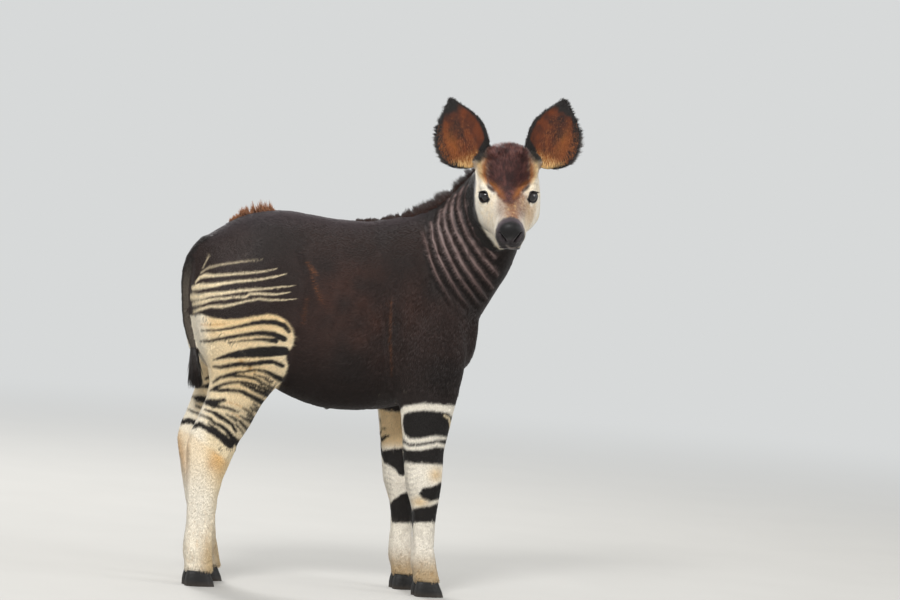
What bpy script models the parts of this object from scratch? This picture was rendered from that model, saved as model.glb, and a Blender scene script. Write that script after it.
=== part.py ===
"""A life-size okapi calf, standing square and looking back over its right shoulder.

The calf faces +X with its left side towards +Y, and stands on the floor at Z = 0. The body is modelled
whole from lofts that are fused and smoothed, and is then parted by thin plane cuts. All sizes are metres,
in a body frame whose origin is on the floor below the middle of the trunk.
"""

import math
from dataclasses import dataclass

import bmesh
import bpy
import numpy as np
from mathutils import Matrix, Vector

# Driving dimensions
HOOF_HEIGHT = 0.042
STANCE_FRONT = 0.080  # from the middle plane to each forefoot
STANCE_HIND = 0.074
PARTING_GAP = 0.0003
EYE_RADIUS = 0.0195
EAR_LENGTH = 0.202
EAR_THICKNESS = 0.006
MANE_HEIGHT = 0.027
MANE_HALF_WIDTH = 0.011
CROUP_HEIGHT = 0.024
CROUP_HALF_WIDTH = 0.010
FOOT_MIDDLE = {"fore": 0.347, "hind": -0.297}  # x of the middle of a foot, before FOOT_FORWARD
CLAW_STEP = 0.0185  # from the middle of a foot to the middle of each claw
CLAW_INNER = 0.0155  # from a claw's middle to its flat inner face
HEAD_PITCH = 24.0  # degrees that the bridge of the nose falls below level
HEAD_TURN = 102.5  # degrees from straight ahead to the right
HEAD_ROLL = 4.5  # degrees that the left side of the head is raised
HEAD_MIDDLE = Vector((0.4588, -0.2500, 1.1495))  # between the eyes, on the bridge of the nose

# Mesh fineness
RING_POINTS = 32
FUSE_VOXEL = 0.0042
SMOOTH_ROUNDS = 9
FLESH_TRIANGLES = 4500
HEAD_REACH = 0.24
HEAD_THINNING = 0.50
BODY_THINNING = 0.80

SIDES = {"right": -1.0, "left": 1.0}


@dataclass(frozen=True)
class Colour:
    """A finish, as linear red, green and blue, with its roughness."""

    name: str
    rgb: tuple
    roughness: float


COAT_DARK = Colour("dark_coat", (0.016, 0.010, 0.008), 0.45)
COAT_CREAM = Colour("cream_coat", (0.62, 0.50, 0.36), 0.55)
COAT_RUSSET = Colour("russet_coat", (0.17, 0.05, 0.025), 0.50)
HORN_BLACK = Colour("hoof_horn", (0.012, 0.011, 0.011), 0.35)
EYE_BROWN = Colour("eye", (0.010, 0.006, 0.005), 0.08)


def material(colour):
    """The Principled material of a finish, made once."""
    found = bpy.data.materials.get(colour.name)
    if found:
        return found
    made = bpy.data.materials.new(colour.name)
    made.use_nodes = True
    shader = made.node_tree.nodes["Principled BSDF"]
    shader.inputs["Base Color"].default_value = (*colour.rgb, 1.0)
    shader.inputs["Roughness"].default_value = colour.roughness
    shader.inputs["Metallic"].default_value = 0.0
    return made


# Lofts: each is a run of rings. A ring's front and back are two opposite points of it, and its sides
# stand out square to them. A leg's front is towards +X, and a trunk's or a neck's front is its top line.
FRONT, BACK, HALF_WIDTH, WIDEST, SQUARE, TAPER = slice(0, 3), slice(3, 6), 6, 7, 8, 9


def ring_row(front, back, half_width, widest=0.5, square=2.0, taper=0.0):
    """One ring. widest is where it is widest, from the back at 0 to the front at 1.
    square is the superellipse's power, and taper narrows the front half and widens the back half."""
    return [*front, *back, half_width, widest, square, taper]


def smooth_rows(rows, count):
    """count rows on a Catmull-Rom curve through the given rows, spaced by the length between ring middles."""
    rows = np.array(rows, float)
    middles = (rows[:, FRONT] + rows[:, BACK]) / 2
    steps = np.linalg.norm(np.diff(middles, axis=0), axis=1)
    knots = np.concatenate([[0.0], np.cumsum(np.maximum(steps, 1e-4))])
    slopes = np.gradient(rows, knots, axis=0)
    found = []
    for at in np.linspace(0.0, knots[-1], count):
        i = min(int(np.searchsorted(knots, at, side="right")) - 1, len(knots) - 2)
        span = knots[i + 1] - knots[i]
        t = (at - knots[i]) / span
        found.append(
            (2 * t**3 - 3 * t**2 + 1) * rows[i]
            + (t**3 - 2 * t**2 + t) * span * slopes[i]
            + (3 * t**2 - 2 * t**3) * rows[i + 1]
            + (t**3 - t**2) * span * slopes[i + 1]
        )
    return np.array(found)


def domed(rows, length, at_start):
    """The rows with a rounded end of that length added, before the first row or after the last."""
    edge, inner = (rows[0], rows[1]) if at_start else (rows[-1], rows[-2])
    middle = (edge[FRONT] + edge[BACK]) / 2
    outward = middle - (inner[FRONT] + inner[BACK]) / 2
    outward /= np.linalg.norm(outward)
    added = []
    for angle in np.radians([22.0, 44.0, 64.0, 80.0]):
        row = edge.copy()
        shrink, out = math.cos(angle), length * math.sin(angle)
        row[FRONT] = middle + (edge[FRONT] - middle) * shrink + outward * out
        row[BACK] = middle + (edge[BACK] - middle) * shrink + outward * out
        row[HALF_WIDTH] *= shrink
        added.append(row)
    return np.array(added[::-1] + list(rows)) if at_start else np.array(list(rows) + added)


def ring_points(row, side, points=RING_POINTS):
    """The points of one ring, going round from the side through the front."""
    turn = np.linspace(0.0, 2 * math.pi, points, endpoint=False)
    power = 2.0 / row[SQUARE]
    across = np.sign(np.cos(turn)) * np.abs(np.cos(turn)) ** power
    along = np.sign(np.sin(turn)) * np.abs(np.sin(turn)) ** power
    axis = row[FRONT] - row[BACK]
    middle = row[BACK] + axis * row[WIDEST]
    reach = np.where(along > 0, 1 - row[WIDEST], row[WIDEST]) * along
    width = row[HALF_WIDTH] * across * (1 - row[TAPER] * np.sin(turn))
    return middle + np.outer(reach, axis) + np.outer(width, side)


def loft(rows, count, start_dome=0.0, end_dome=0.0, points=RING_POINTS):
    """A closed bmesh through the rings."""
    rows = smooth_rows(rows, count)
    middles = (rows[:, FRONT] + rows[:, BACK]) / 2
    tangents = np.gradient(middles, axis=0)
    sides = np.cross(rows[:, FRONT] - rows[:, BACK], tangents)
    if start_dome:
        rows = domed(rows, start_dome, True)
        sides = np.concatenate([np.repeat(sides[:1], 4, axis=0), sides])
    if end_dome:
        rows = domed(rows, end_dome, False)
        sides = np.concatenate([sides, np.repeat(sides[-1:], 4, axis=0)])
    sides /= np.linalg.norm(sides, axis=1)[:, None]
    made = bmesh.new()
    rings = [
        [made.verts.new(p) for p in ring_points(row, side, points)] for row, side in zip(rows, sides)
    ]
    for ring, after in zip(rings, rings[1:]):
        for i in range(points):
            j = (i + 1) % points
            made.faces.new((ring[i], ring[j], after[j], after[i]))
    made.faces.new(rings[0][::-1])
    made.faces.new(rings[-1])
    bmesh.ops.recalc_face_normals(made, faces=made.faces)
    return made


def ball(centre, radii, turn=None, segments=24):
    """A closed bmesh of an ellipsoid, turned by a matrix about its middle."""
    made = bmesh.new()
    place = Matrix.Translation(centre) @ (turn or Matrix()).to_4x4() @ Matrix.Diagonal((*radii, 1.0))
    bmesh.ops.create_uvsphere(made, u_segments=segments, v_segments=segments // 2, radius=1.0, matrix=place)
    return made


def add_object(name, made, colour=None):
    """Links a bmesh to the scene as an object of that name, and frees it."""
    mesh = bpy.data.meshes.new(name)
    made.to_mesh(mesh)
    made.free()
    obj = bpy.data.objects.new(name, mesh)
    bpy.context.scene.collection.objects.link(obj)
    if colour:
        mesh.materials.append(material(colour))
    return obj


def settle(obj):
    """Applies the object's modifiers."""
    bpy.context.view_layer.update()
    graph = bpy.context.evaluated_depsgraph_get()
    mesh = bpy.data.meshes.new_from_object(obj.evaluated_get(graph))
    obj.modifiers.clear()
    old, obj.data = obj.data, mesh
    bpy.data.meshes.remove(old)
    return obj


def remove(*objects):
    """Deletes helpers."""
    for obj in objects:
        bpy.data.objects.remove(obj)


def copy_of(obj, name):
    """A linked copy of an object with its own mesh."""
    made = bpy.data.objects.new(name, obj.data.copy())
    bpy.context.scene.collection.objects.link(made)
    return made


def cut(obj, tool, operation):
    """One Boolean, applied."""
    step = obj.modifiers.new("cut", "BOOLEAN")
    step.operation = operation
    step.solver = "EXACT"
    step.object = tool
    return settle(obj)


def grown(obj, by):
    """A helper copy of an object, with its surface moved outwards."""
    made = copy_of(obj, "grown")
    step = made.modifiers.new("grow", "DISPLACE")
    step.strength = by
    step.mid_level = 0.0
    return settle(made)


def keep_largest(obj):
    """Deletes all but the largest loose body of a mesh."""
    made = bmesh.new()
    made.from_mesh(obj.data)
    left, islands = set(made.verts), []
    while left:
        island, queue = set(), [left.pop()]
        while queue:
            vertex = queue.pop()
            island.add(vertex)
            for edge in vertex.link_edges:
                other = edge.other_vert(vertex)
                if other in left:
                    left.remove(other)
                    queue.append(other)
        islands.append(island)
    largest = max(islands, key=len)
    bmesh.ops.delete(made, geom=[v for v in made.verts if v not in largest], context="VERTS")
    made.to_mesh(obj.data)
    made.free()
    return obj


# Trunk: x, top line, belly line, half width, where it is widest, squareness, taper towards the top
TRUNK = [
    (-0.352, 0.928, 0.723, 0.064, 0.45, 2.1, 0.10),
    (-0.322, 0.960, 0.634, 0.098, 0.50, 2.2, 0.15),
    (-0.275, 0.994, 0.587, 0.120, 0.52, 2.2, 0.18),
    (-0.215, 1.026, 0.573, 0.131, 0.55, 2.2, 0.20),
    (-0.130, 1.045, 0.562, 0.133, 0.54, 2.2, 0.22),
    (-0.040, 1.041, 0.524, 0.132, 0.46, 2.2, 0.22),
    (0.040, 1.032, 0.504, 0.132, 0.44, 2.2, 0.22),
    (0.130, 1.033, 0.501, 0.130, 0.44, 2.2, 0.24),
    (0.210, 1.047, 0.510, 0.124, 0.46, 2.2, 0.28),
    (0.290, 1.057, 0.532, 0.120, 0.48, 2.2, 0.34),
    (0.355, 1.033, 0.556, 0.113, 0.50, 2.2, 0.34),
    (0.410, 0.977, 0.588, 0.095, 0.52, 2.2, 0.22),
    (0.442, 0.911, 0.640, 0.076, 0.52, 2.1, 0.08),
]

# Neck: nape, throat, half width, where it is widest, taper towards the nape
NECK = [
    ((0.189, 0.000, 1.012), (0.347, 0.000, 0.656), 0.106, 0.50, 0.22),
    ((0.269, 0.000, 1.062), (0.457, 0.000, 0.760), 0.097, 0.48, 0.28),
    ((0.326, -0.012, 1.096), (0.505, -0.022, 0.838), 0.086, 0.46, 0.27),
    ((0.366, -0.036, 1.138), (0.532, -0.057, 0.904), 0.078, 0.46, 0.24),
    ((0.393, -0.068, 1.176), (0.535, -0.096, 0.958), 0.072, 0.47, 0.18),
    ((0.418, -0.100, 1.210), (0.526, -0.136, 1.004), 0.067, 0.48, 0.12),
    ((0.444, -0.124, 1.232), (0.512, -0.174, 1.040), 0.059, 0.50, 0.05),
    ((0.468, -0.150, 1.243), (0.498, -0.208, 1.074), 0.051, 0.50, 0.00),
]

# Foreleg: height, front x, rear x, distance from the middle plane, half width, squareness
FORELEG = [
    (0.874, 0.385, 0.221, 0.056, 0.038, 2.2),
    (0.754, 0.418, 0.207, 0.078, 0.048, 2.2),
    (0.654, 0.420, 0.202, 0.086, 0.050, 2.2),
    (0.584, 0.404, 0.213, 0.086, 0.050, 2.2),
    (0.523, 0.390, 0.232, 0.084, 0.047, 2.1),
    (0.461, 0.380, 0.244, 0.083, 0.044, 2.0),
    (0.405, 0.371, 0.252, 0.082, 0.041, 2.1),
    (0.354, 0.372, 0.261, 0.081, 0.041, 2.3),
    (0.307, 0.372, 0.269, 0.080, 0.042, 2.5),
    (0.266, 0.367, 0.284, 0.080, 0.036, 2.4),
    (0.220, 0.364, 0.295, 0.080, 0.030, 2.2),
    (0.164, 0.364, 0.299, 0.080, 0.028, 2.2),
    (0.121, 0.368, 0.299, 0.080, 0.031, 2.3),
    (0.094, 0.374, 0.300, 0.080, 0.033, 2.3),
    (0.070, 0.381, 0.307, 0.080, 0.031, 2.3),
    (0.047, 0.388, 0.314, 0.080, 0.034, 2.3),
    (0.031, 0.392, 0.318, 0.080, 0.036, 2.3),
]

# Hind leg, the same columns
HINDLEG = [
    (0.884, -0.116, -0.326, 0.060, 0.054, 2.2),
    (0.804, -0.090, -0.352, 0.075, 0.063, 2.2),
    (0.724, -0.080, -0.351, 0.082, 0.065, 2.2),
    (0.654, -0.069, -0.333, 0.084, 0.062, 2.2),
    (0.594, -0.084, -0.306, 0.083, 0.056, 2.2),
    (0.544, -0.122, -0.303, 0.081, 0.049, 2.1),
    (0.489, -0.157, -0.318, 0.080, 0.043, 2.0),
    (0.439, -0.178, -0.337, 0.076, 0.037, 2.0),
    (0.395, -0.204, -0.350, 0.074, 0.036, 2.2),
    (0.347, -0.222, -0.349, 0.073, 0.037, 2.4),
    (0.289, -0.243, -0.344, 0.073, 0.034, 2.4),
    (0.226, -0.251, -0.339, 0.073, 0.030, 2.2),
    (0.164, -0.257, -0.336, 0.073, 0.029, 2.2),
    (0.116, -0.257, -0.340, 0.074, 0.032, 2.3),
    (0.089, -0.253, -0.339, 0.074, 0.034, 2.3),
    (0.065, -0.251, -0.334, 0.074, 0.033, 2.3),
    (0.044, -0.249, -0.331, 0.074, 0.036, 2.3),
    (0.029, -0.247, -0.329, 0.074, 0.038, 2.3),
]

# How far each foot stands forward of the measured leg, with the leg following from its root
FOOT_FORWARD = {
    ("fore", "right"): 0.010,
    ("fore", "left"): -0.011,
    ("hind", "right"): 0.000,
    ("hind", "left"): 0.055,
}
LEG_ROOT = {"fore": 0.680, "hind": 0.420}  # height above which a leg keeps its place
LEG_SWUNG = {"fore": 0.540, "hind": 0.050}  # height below which a leg is wholly moved

# Head: along the bridge, top, underside, half width, where it is widest, squareness, taper
HEAD = [
    (-0.035, 0.036, -0.050, 0.052, 0.55, 2.1, 0.00),
    (-0.005, 0.064, -0.088, 0.074, 0.55, 2.2, 0.02),
    (0.030, 0.070, -0.120, 0.085, 0.52, 2.3, 0.05),
    (0.065, 0.060, -0.142, 0.091, 0.50, 2.4, 0.07),
    (0.098, 0.042, -0.150, 0.090, 0.48, 2.4, 0.10),
    (0.130, 0.019, -0.145, 0.080, 0.46, 2.4, 0.14),
    (0.158, 0.002, -0.136, 0.068, 0.46, 2.4, 0.15),
    (0.188, -0.006, -0.128, 0.057, 0.46, 2.4, 0.14),
    (0.222, -0.008, -0.121, 0.048, 0.48, 2.4, 0.12),
    (0.256, -0.007, -0.118, 0.043, 0.50, 2.3, 0.06),
    (0.285, -0.006, -0.116, 0.041, 0.50, 2.3, 0.02),
    (0.310, -0.008, -0.111, 0.039, 0.55, 2.3, 0.00),
]
HEAD_START = -0.15  # the head frame's zero, measured from between the eyes

# Lumps on the head: middle and radii in the head frame, mirrored to both sides where v is not zero
HEAD_LUMPS = [
    ((0.318, 0.000, -0.040), (0.026, 0.036, 0.028)),  # nose pad and upper lip
    ((0.302, 0.017, -0.057), (0.034, 0.028, 0.034)),  # sides of the muzzle
    ((0.296, 0.000, -0.105), (0.031, 0.031, 0.031)),  # chin
    ((0.110, 0.064, -0.003), (0.034, 0.017, 0.013)),  # brow over the eye
    ((0.082, 0.058, -0.092), (0.048, 0.034, 0.050)),  # chewing muscle
    ((0.044, 0.030, 0.056), (0.028, 0.024, 0.018)),  # horn bud swelling
    ((0.016, 0.066, 0.018), (0.028, 0.026, 0.028)),  # root of the ear
]
EYE_PLACE = (0.129, 0.0605, -0.029)

# Ear blade, from root to tip: share of its length, outer reach, inner reach, outer curl, inner curl
EAR = [
    (0.00, 0.030, 0.018, 0.030, 0.026),
    (0.10, 0.070, 0.034, 0.042, 0.028),
    (0.22, 0.094, 0.045, 0.044, 0.026),
    (0.40, 0.100, 0.053, 0.038, 0.018),
    (0.56, 0.092, 0.051, 0.030, 0.013),
    (0.72, 0.072, 0.037, 0.020, 0.010),
    (0.87, 0.042, 0.015, 0.010, 0.005),
    (1.00, 0.008, 0.002, 0.004, 0.002),
]
EAR_ROOT = (0.014, 0.074, 0.015)
EAR_AXIS = (-0.30, 0.400, 0.870)
EAR_ROWS, EAR_COLUMNS = 10, 9

# Croup crest: x and height of the skin under it
CROUP_CREST = [(-0.285, 0.993), (-0.225, 1.023), (-0.165, 1.040), (-0.110, 1.043)]

# Tail: place, radius
TAIL = [
    ((-0.2992, 0.0000, 0.9608), 0.0300),
    ((-0.3423, 0.0000, 0.9187), 0.0240),
    ((-0.3652, 0.0000, 0.8624), 0.0185),
    ((-0.3665, -0.0020, 0.7822), 0.0140),
    ((-0.3575, -0.0060, 0.7023), 0.0110),
    ((-0.3345, -0.0120, 0.6429), 0.0095),
]
TAIL_TUFT = [
    ((-0.3340, -0.0125, 0.6414), 0.0100),
    ((-0.3270, -0.0160, 0.6182), 0.0200),
    ((-0.3205, -0.0200, 0.5860), 0.0285),
    ((-0.3170, -0.0240, 0.5580), 0.0265),
    ((-0.3150, -0.0260, 0.5380), 0.0140),
]


def head_matrix():
    """From the head frame, u along the bridge, v to the calf's left and w up, to the model."""
    turn = Matrix.Rotation(-math.radians(HEAD_TURN), 4, "Z")
    pitch = Matrix.Rotation(math.radians(HEAD_PITCH), 4, "Y")
    roll = Matrix.Rotation(math.radians(HEAD_ROLL), 4, "X")
    return Matrix.Translation(HEAD_MIDDLE) @ turn @ pitch @ roll @ Matrix.Translation((HEAD_START, 0, 0))


def trunk_loft():
    """Buttocks to breast."""
    rows = [
        ring_row((x, 0.0, top), (x, 0.0, belly), width, widest, square, taper)
        for x, top, belly, width, widest, square, taper in TRUNK
    ]
    return loft(rows, 40, start_dome=0.018, end_dome=0.030)


def neck_loft():
    """Out of the shoulders and round to the right, up to the back of the head."""
    rows = [ring_row(nape, throat, width, widest, 2.1, taper) for nape, throat, width, widest, taper in NECK]
    return loft(rows, 28, end_dome=0.030)


def foot_shift(kind, side, height):
    """How far forward a leg stands at a height, growing from its root down."""
    share = min(max((LEG_ROOT[kind] - height) / (LEG_ROOT[kind] - LEG_SWUNG[kind]), 0.0), 1.0)
    return FOOT_FORWARD[kind, side] * share


def leg_loft(kind, side):
    """One limb, from inside the trunk down past the top of the hoof."""
    rows = []
    for height, front, rear, out, width, square in FORELEG if kind == "fore" else HINDLEG:
        shift = foot_shift(kind, side, height)
        y = SIDES[side] * out
        rows.append(ring_row((front + shift, y, height), (rear + shift, y, height), width, 0.5, square))
    return loft(rows, 52, start_dome=0.030)


def head_loft():
    """Skull, face and jaw, in the head frame."""
    rows = [
        ring_row((u, 0.0, top), (u, 0.0, under), width, widest, square, taper)
        for u, top, under, width, widest, square, taper in HEAD
    ]
    return loft(rows, 40, start_dome=0.020, end_dome=0.020)


def head_lumps():
    """The ellipsoids that are fused with the head, in the head frame."""
    made = []
    for (u, v, w), radii in HEAD_LUMPS:
        for sign in (1.0, -1.0) if v else (1.0,):
            made.append(ball((u, sign * v, w), radii))
    return made


def fused(name, parts):
    """One closed, smoothed mesh from overlapping closed parts, thinned to the triangles allowed."""
    whole = bmesh.new()
    for part in parts:
        mesh = bpy.data.meshes.new("part")
        part.to_mesh(mesh)
        part.free()
        whole.from_mesh(mesh)
        bpy.data.meshes.remove(mesh)
    obj = add_object(name, whole)
    remesh = obj.modifiers.new("fuse", "REMESH")
    remesh.mode = "VOXEL"
    remesh.voxel_size = FUSE_VOXEL
    smooth = obj.modifiers.new("smooth", "SMOOTH")
    smooth.factor = 0.5
    smooth.iterations = SMOOTH_ROUNDS
    return settle(obj)


def thinned(obj, triangles):
    """Reduces a mesh, keeping more triangles on the head than elsewhere."""
    group = obj.vertex_groups.new(name="coarse")
    for vertex in obj.data.vertices:
        near_head = (vertex.co - HEAD_MIDDLE).length < HEAD_REACH
        group.add([vertex.index], HEAD_THINNING if near_head else BODY_THINNING, "REPLACE")
    count = sum(len(face.vertices) - 2 for face in obj.data.polygons)
    step = obj.modifiers.new("thin", "DECIMATE")
    step.ratio = triangles / count
    step.vertex_group = group.name
    step.vertex_group_factor = 1.0
    step.use_collapse_triangulate = True
    settle(obj)
    obj.vertex_groups.clear()
    return obj


@dataclass(frozen=True)
class Block:
    """A square block that takes one sub-part off the body. It lies before a flat face through a point."""

    point: tuple
    normal: tuple
    size: float
    sides: tuple = (-1.0, 1.0)  # the least and greatest Y

    def build(self, grow=0.0):
        """The block as a helper object, with its face moved back by grow."""
        normal = Vector(self.normal).normalized()
        turn = normal.to_track_quat("X", "Z").to_matrix().to_4x4()
        place = Matrix.Translation(Vector(self.point) + normal * (self.size / 2 - grow)) @ turn
        made = bmesh.new()
        bmesh.ops.create_cube(made, size=self.size + 2 * grow, matrix=place)
        low, high = self.sides[0] - grow, self.sides[1] + grow
        for vertex in made.verts:
            vertex.co.y = min(max(vertex.co.y, low), high)
        return add_object("cutter", made)


def part_off(body, name, block, colour):
    """Takes the block's share of the body as a new object, and leaves the parting gap in the body."""
    piece = copy_of(body, name)
    tool = block.build()
    cut(piece, tool, "INTERSECT")
    remove(tool)
    tool = block.build(PARTING_GAP)
    cut(body, tool, "DIFFERENCE")
    remove(tool)
    keep_largest(piece)
    piece.data.materials.clear()
    piece.data.materials.append(material(colour))
    return piece


def ear_blade(side):
    """One ear: a leaf, cupped forwards, with a closed skin on both faces."""
    sign = SIDES[side]
    axis = Vector((EAR_AXIS[0], sign * EAR_AXIS[1], EAR_AXIS[2])).normalized()
    out = Vector((0.10, sign, 0.0))
    out = (out - axis * out.dot(axis)).normalized()
    opening = out.cross(axis) * sign
    root = Vector((EAR_ROOT[0], sign * EAR_ROOT[1], EAR_ROOT[2]))
    profile = np.array(EAR)
    made = bmesh.new()
    grids = []
    for face in (0.5, -0.5):
        grid = []
        for i in range(EAR_ROWS):
            s = i / (EAR_ROWS - 1)
            outer, inner, curl_out, curl_in = [np.interp(s, profile[:, 0], profile[:, k]) for k in (1, 2, 3, 4)]
            line = []
            for j in range(EAR_COLUMNS):
                q = 2 * j / (EAR_COLUMNS - 1) - 1
                reach, curl = (outer, curl_out) if q > 0 else (inner, curl_in)
                across = math.sin(q * math.pi / 2) * reach
                depth = curl * (1 - math.cos(q * math.pi / 2)) ** 1.2
                edge = math.sqrt(max(1 - abs(q) ** 6, 0.0)) * min(1.0, 6 * (1 - s) + 0.15)
                thick = EAR_THICKNESS * face * edge
                line.append(root + axis * (s * EAR_LENGTH) + out * across + opening * (depth + thick))
            grid.append(line)
        grids.append(grid)
    front = [[made.verts.new(p) for p in line] for line in grids[0]]
    back = [
        [front[i][j] if j in (0, EAR_COLUMNS - 1) else made.verts.new(p) for j, p in enumerate(line)]
        for i, line in enumerate(grids[1])
    ]
    for i in range(EAR_ROWS - 1):
        for j in range(EAR_COLUMNS - 1):
            made.faces.new((front[i][j], front[i][j + 1], front[i + 1][j + 1], front[i + 1][j]))
            made.faces.new((back[i][j], back[i + 1][j], back[i + 1][j + 1], back[i][j + 1]))
    for i in (0, EAR_ROWS - 1):
        made.faces.new(front[i] + back[i][-2:0:-1])
    bmesh.ops.recalc_face_normals(made, faces=made.faces)
    made.transform(head_matrix())
    return made


def tube(points, count, ring=10, start_dome=0.004, end_dome=0.004):
    """A round loft through (place, radius) points, for the tail and its tuft."""
    rows = []
    for (x, y, z), radius in points:
        rows.append(ring_row((x + radius, y, z), (x - radius, y, z), radius))
    return loft(rows, count, start_dome, end_dome, ring)


def crest(path, height, half_width, count):
    """A low ridge of upright hair. path holds points of the top line, which it straddles."""
    rows = []
    for i, (point, up) in enumerate(path):
        share = math.sin(math.pi * (i + 0.35) / (len(path) - 0.3)) ** 0.5
        top = Vector(point) + Vector(up).normalized() * height * share
        foot = Vector(point) - Vector(up).normalized() * 0.016
        rows.append(ring_row(top, foot, half_width, 0.3, 1.8, 0.3))
    return loft(rows, count, 0.004, 0.004, 8)


def neck_crest_path():
    """Nape points from the withers to the poll, with the way that the hair stands."""
    path = [((0.222, 0.0, 1.046), (-0.2, 0.0, 1.0))]
    for nape, throat, *_ in NECK[1:]:
        path.append((nape, Vector(nape) - Vector(throat)))
    return path


def claw(x, y, side):
    """One claw of a cloven hoof, standing flat on the floor. x is the middle of the foot."""
    levels = [
        (0.0000, 0.051, -0.034, 0.0172),
        (0.0120, 0.049, -0.036, 0.0178),
        (0.0280, 0.043, -0.037, 0.0176),
        (HOOF_HEIGHT, 0.037, -0.035, 0.0170),
    ]
    rows = []
    for height, toe, heel, width in levels:
        rows.append(ring_row((x + toe, y, height), (x + heel, y, height), width, 0.42, 2.3, 0.22))
    made = loft(rows, 4, points=12)
    for vertex in made.verts:
        if (vertex.co.y - y) * side < -CLAW_INNER:
            vertex.co.y = y - side * CLAW_INNER
    return made


def build_flesh():
    """The whole body as one fused mesh."""
    to_model = head_matrix()
    head = [head_loft(), *head_lumps()]
    for part in head:
        part.transform(to_model)
    legs = [leg_loft(kind, side) for kind in LEG_ROOT for side in SIDES]
    body = fused("trunk", [trunk_loft(), neck_loft(), *legs, *head])
    return thinned(body, FLESH_TRIANGLES)


def part_body(body):
    """Divides the fused body into its named sub-parts."""
    to_model = head_matrix()
    behind_jaw = to_model @ Vector((0.030, 0.0, -0.048))
    forward = to_model.to_3x3() @ Vector((0.88, 0.0, 0.475))
    part_off(body, "head", Block(behind_jaw, forward, 0.36), COAT_RUSSET)
    part_off(body, "neck", Block((0.366, 0.0, 0.890), (0.866, 0.0, 0.500), 0.62), COAT_DARK)
    for side, sign in SIDES.items():
        half = tuple(sorted((sign * 0.0002, sign * 0.30)))
        down = (0.0, 0.0, -1.0)
        for kind, x in (("fore", 0.33), ("hind", -0.29)):
            waste = part_off(body, "waste", Block((x, 0.0, HOOF_HEIGHT), down, 0.30, half), COAT_DARK)
            remove(waste)
        knee, elbow = Block((0.33, 0.0, 0.308), down, 0.30, half), Block((0.33, 0.0, 0.575), down, 0.30, half)
        part_off(body, f"foreleg_{side}_lower", knee, COAT_CREAM)
        part_off(body, f"foreleg_{side}_upper", elbow, COAT_DARK)
        hock = Block((-0.29, 0.0, 0.385), down, 0.37, half)
        stifle = Block((-0.262, 0.0, 0.680), (-0.616, 0.0, -0.788), 0.36, half)
        part_off(body, f"hindleg_{side}_lower", hock, COAT_CREAM)
        part_off(body, f"hindleg_{side}_upper", stifle, COAT_CREAM)
    body.data.materials.clear()
    body.data.materials.append(material(COAT_DARK))
    return keep_largest(body)


def add_eyes(head):
    """Cuts the sockets and sets the eyeballs in them."""
    to_model = head_matrix()
    for side, sign in SIDES.items():
        centre = to_model @ Vector((EYE_PLACE[0], sign * EYE_PLACE[1], EYE_PLACE[2]))
        socket = add_object("socket", ball(centre, (EYE_RADIUS + PARTING_GAP,) * 3, segments=14))
        cut(head, socket, "DIFFERENCE")
        remove(socket)
        add_object(f"eye_{side}", ball(centre, (EYE_RADIUS,) * 3, segments=14), EYE_BROWN)
    keep_largest(head)


def put_origin_below():
    """Moves every sub-part so that the origin lies on the floor under the middle of the calf's box."""
    meshes = [obj.data for obj in bpy.data.objects if obj.type == "MESH"]
    points = np.array([vertex.co for mesh in meshes for vertex in mesh.vertices])
    middle = (points.min(axis=0) + points.max(axis=0)) / 2
    for mesh in meshes:
        mesh.transform(Matrix.Translation((-middle[0], -middle[1], 0.0)))


def main():
    """Builds the calf."""
    for obj in list(bpy.data.objects):
        bpy.data.objects.remove(obj)
    body = build_flesh()
    skin = grown(body, PARTING_GAP)
    part_body(body)
    head = bpy.data.objects["head"]
    add_eyes(head)
    for side in SIDES:
        ear = add_object(f"ear_{side}", ear_blade(side), COAT_RUSSET)
        keep_largest(cut(ear, skin, "DIFFERENCE"))
    tail = add_object("tail", tube(TAIL, 10), COAT_DARK)
    keep_largest(cut(tail, skin, "DIFFERENCE"))
    tuft = add_object("tail_tuft", tube(TAIL_TUFT, 6), COAT_DARK)
    reach = grown(tail, PARTING_GAP)
    keep_largest(cut(tuft, reach, "DIFFERENCE"))
    keep_largest(cut(tuft, skin, "DIFFERENCE"))
    remove(reach)
    croup = [((x, 0.0, z), (-0.3, 0.0, 1.0)) for x, z in CROUP_CREST]
    crests = {
        "mane_neck": (neck_crest_path(), MANE_HEIGHT, MANE_HALF_WIDTH, 13, COAT_DARK),
        "mane_croup": (croup, CROUP_HEIGHT, CROUP_HALF_WIDTH, 8, COAT_RUSSET),
    }
    for name, (path, height, width, count, colour) in crests.items():
        ridge = add_object(name, crest(path, height, width, count), colour)
        keep_largest(cut(ridge, skin, "DIFFERENCE"))
    remove(skin)
    for kind, word, out in (("fore", "front", STANCE_FRONT), ("hind", "hind", STANCE_HIND)):
        for side, sign in SIDES.items():
            x = FOOT_MIDDLE[kind] + FOOT_FORWARD[kind, side]
            for place, step in (("outer", 1.0), ("inner", -1.0)):
                made = claw(x, sign * (out + step * CLAW_STEP), sign * step)
                add_object(f"hoof_{word}_{side}_{place}", made, HORN_BLACK)
    put_origin_below()
    for obj in bpy.data.objects:
        if obj.type == "MESH":
            obj.data.shade_smooth()


if __name__ == "__main__":
    main()
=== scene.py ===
"""The looks of a life-size okapi calf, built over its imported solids.

One skin stands for the parts of flesh. It lies a coat's depth inside them and carries the folds, the lids
and the markings. Tufts of short hair lie over it, and longer locks make the mane, the croup crest, the ear
fringes, the lashes and the tail tuft. Sizes are metres. The calf's frame has X forward and the left at +Y.
"""

import logging
import math
from dataclasses import dataclass, field
from enum import Enum, IntEnum

import bmesh
import bpy
import numpy as np
from mathutils import Matrix, Quaternion, Vector
from mathutils.bvhtree import BVHTree
from mathutils.kdtree import KDTree


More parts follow.
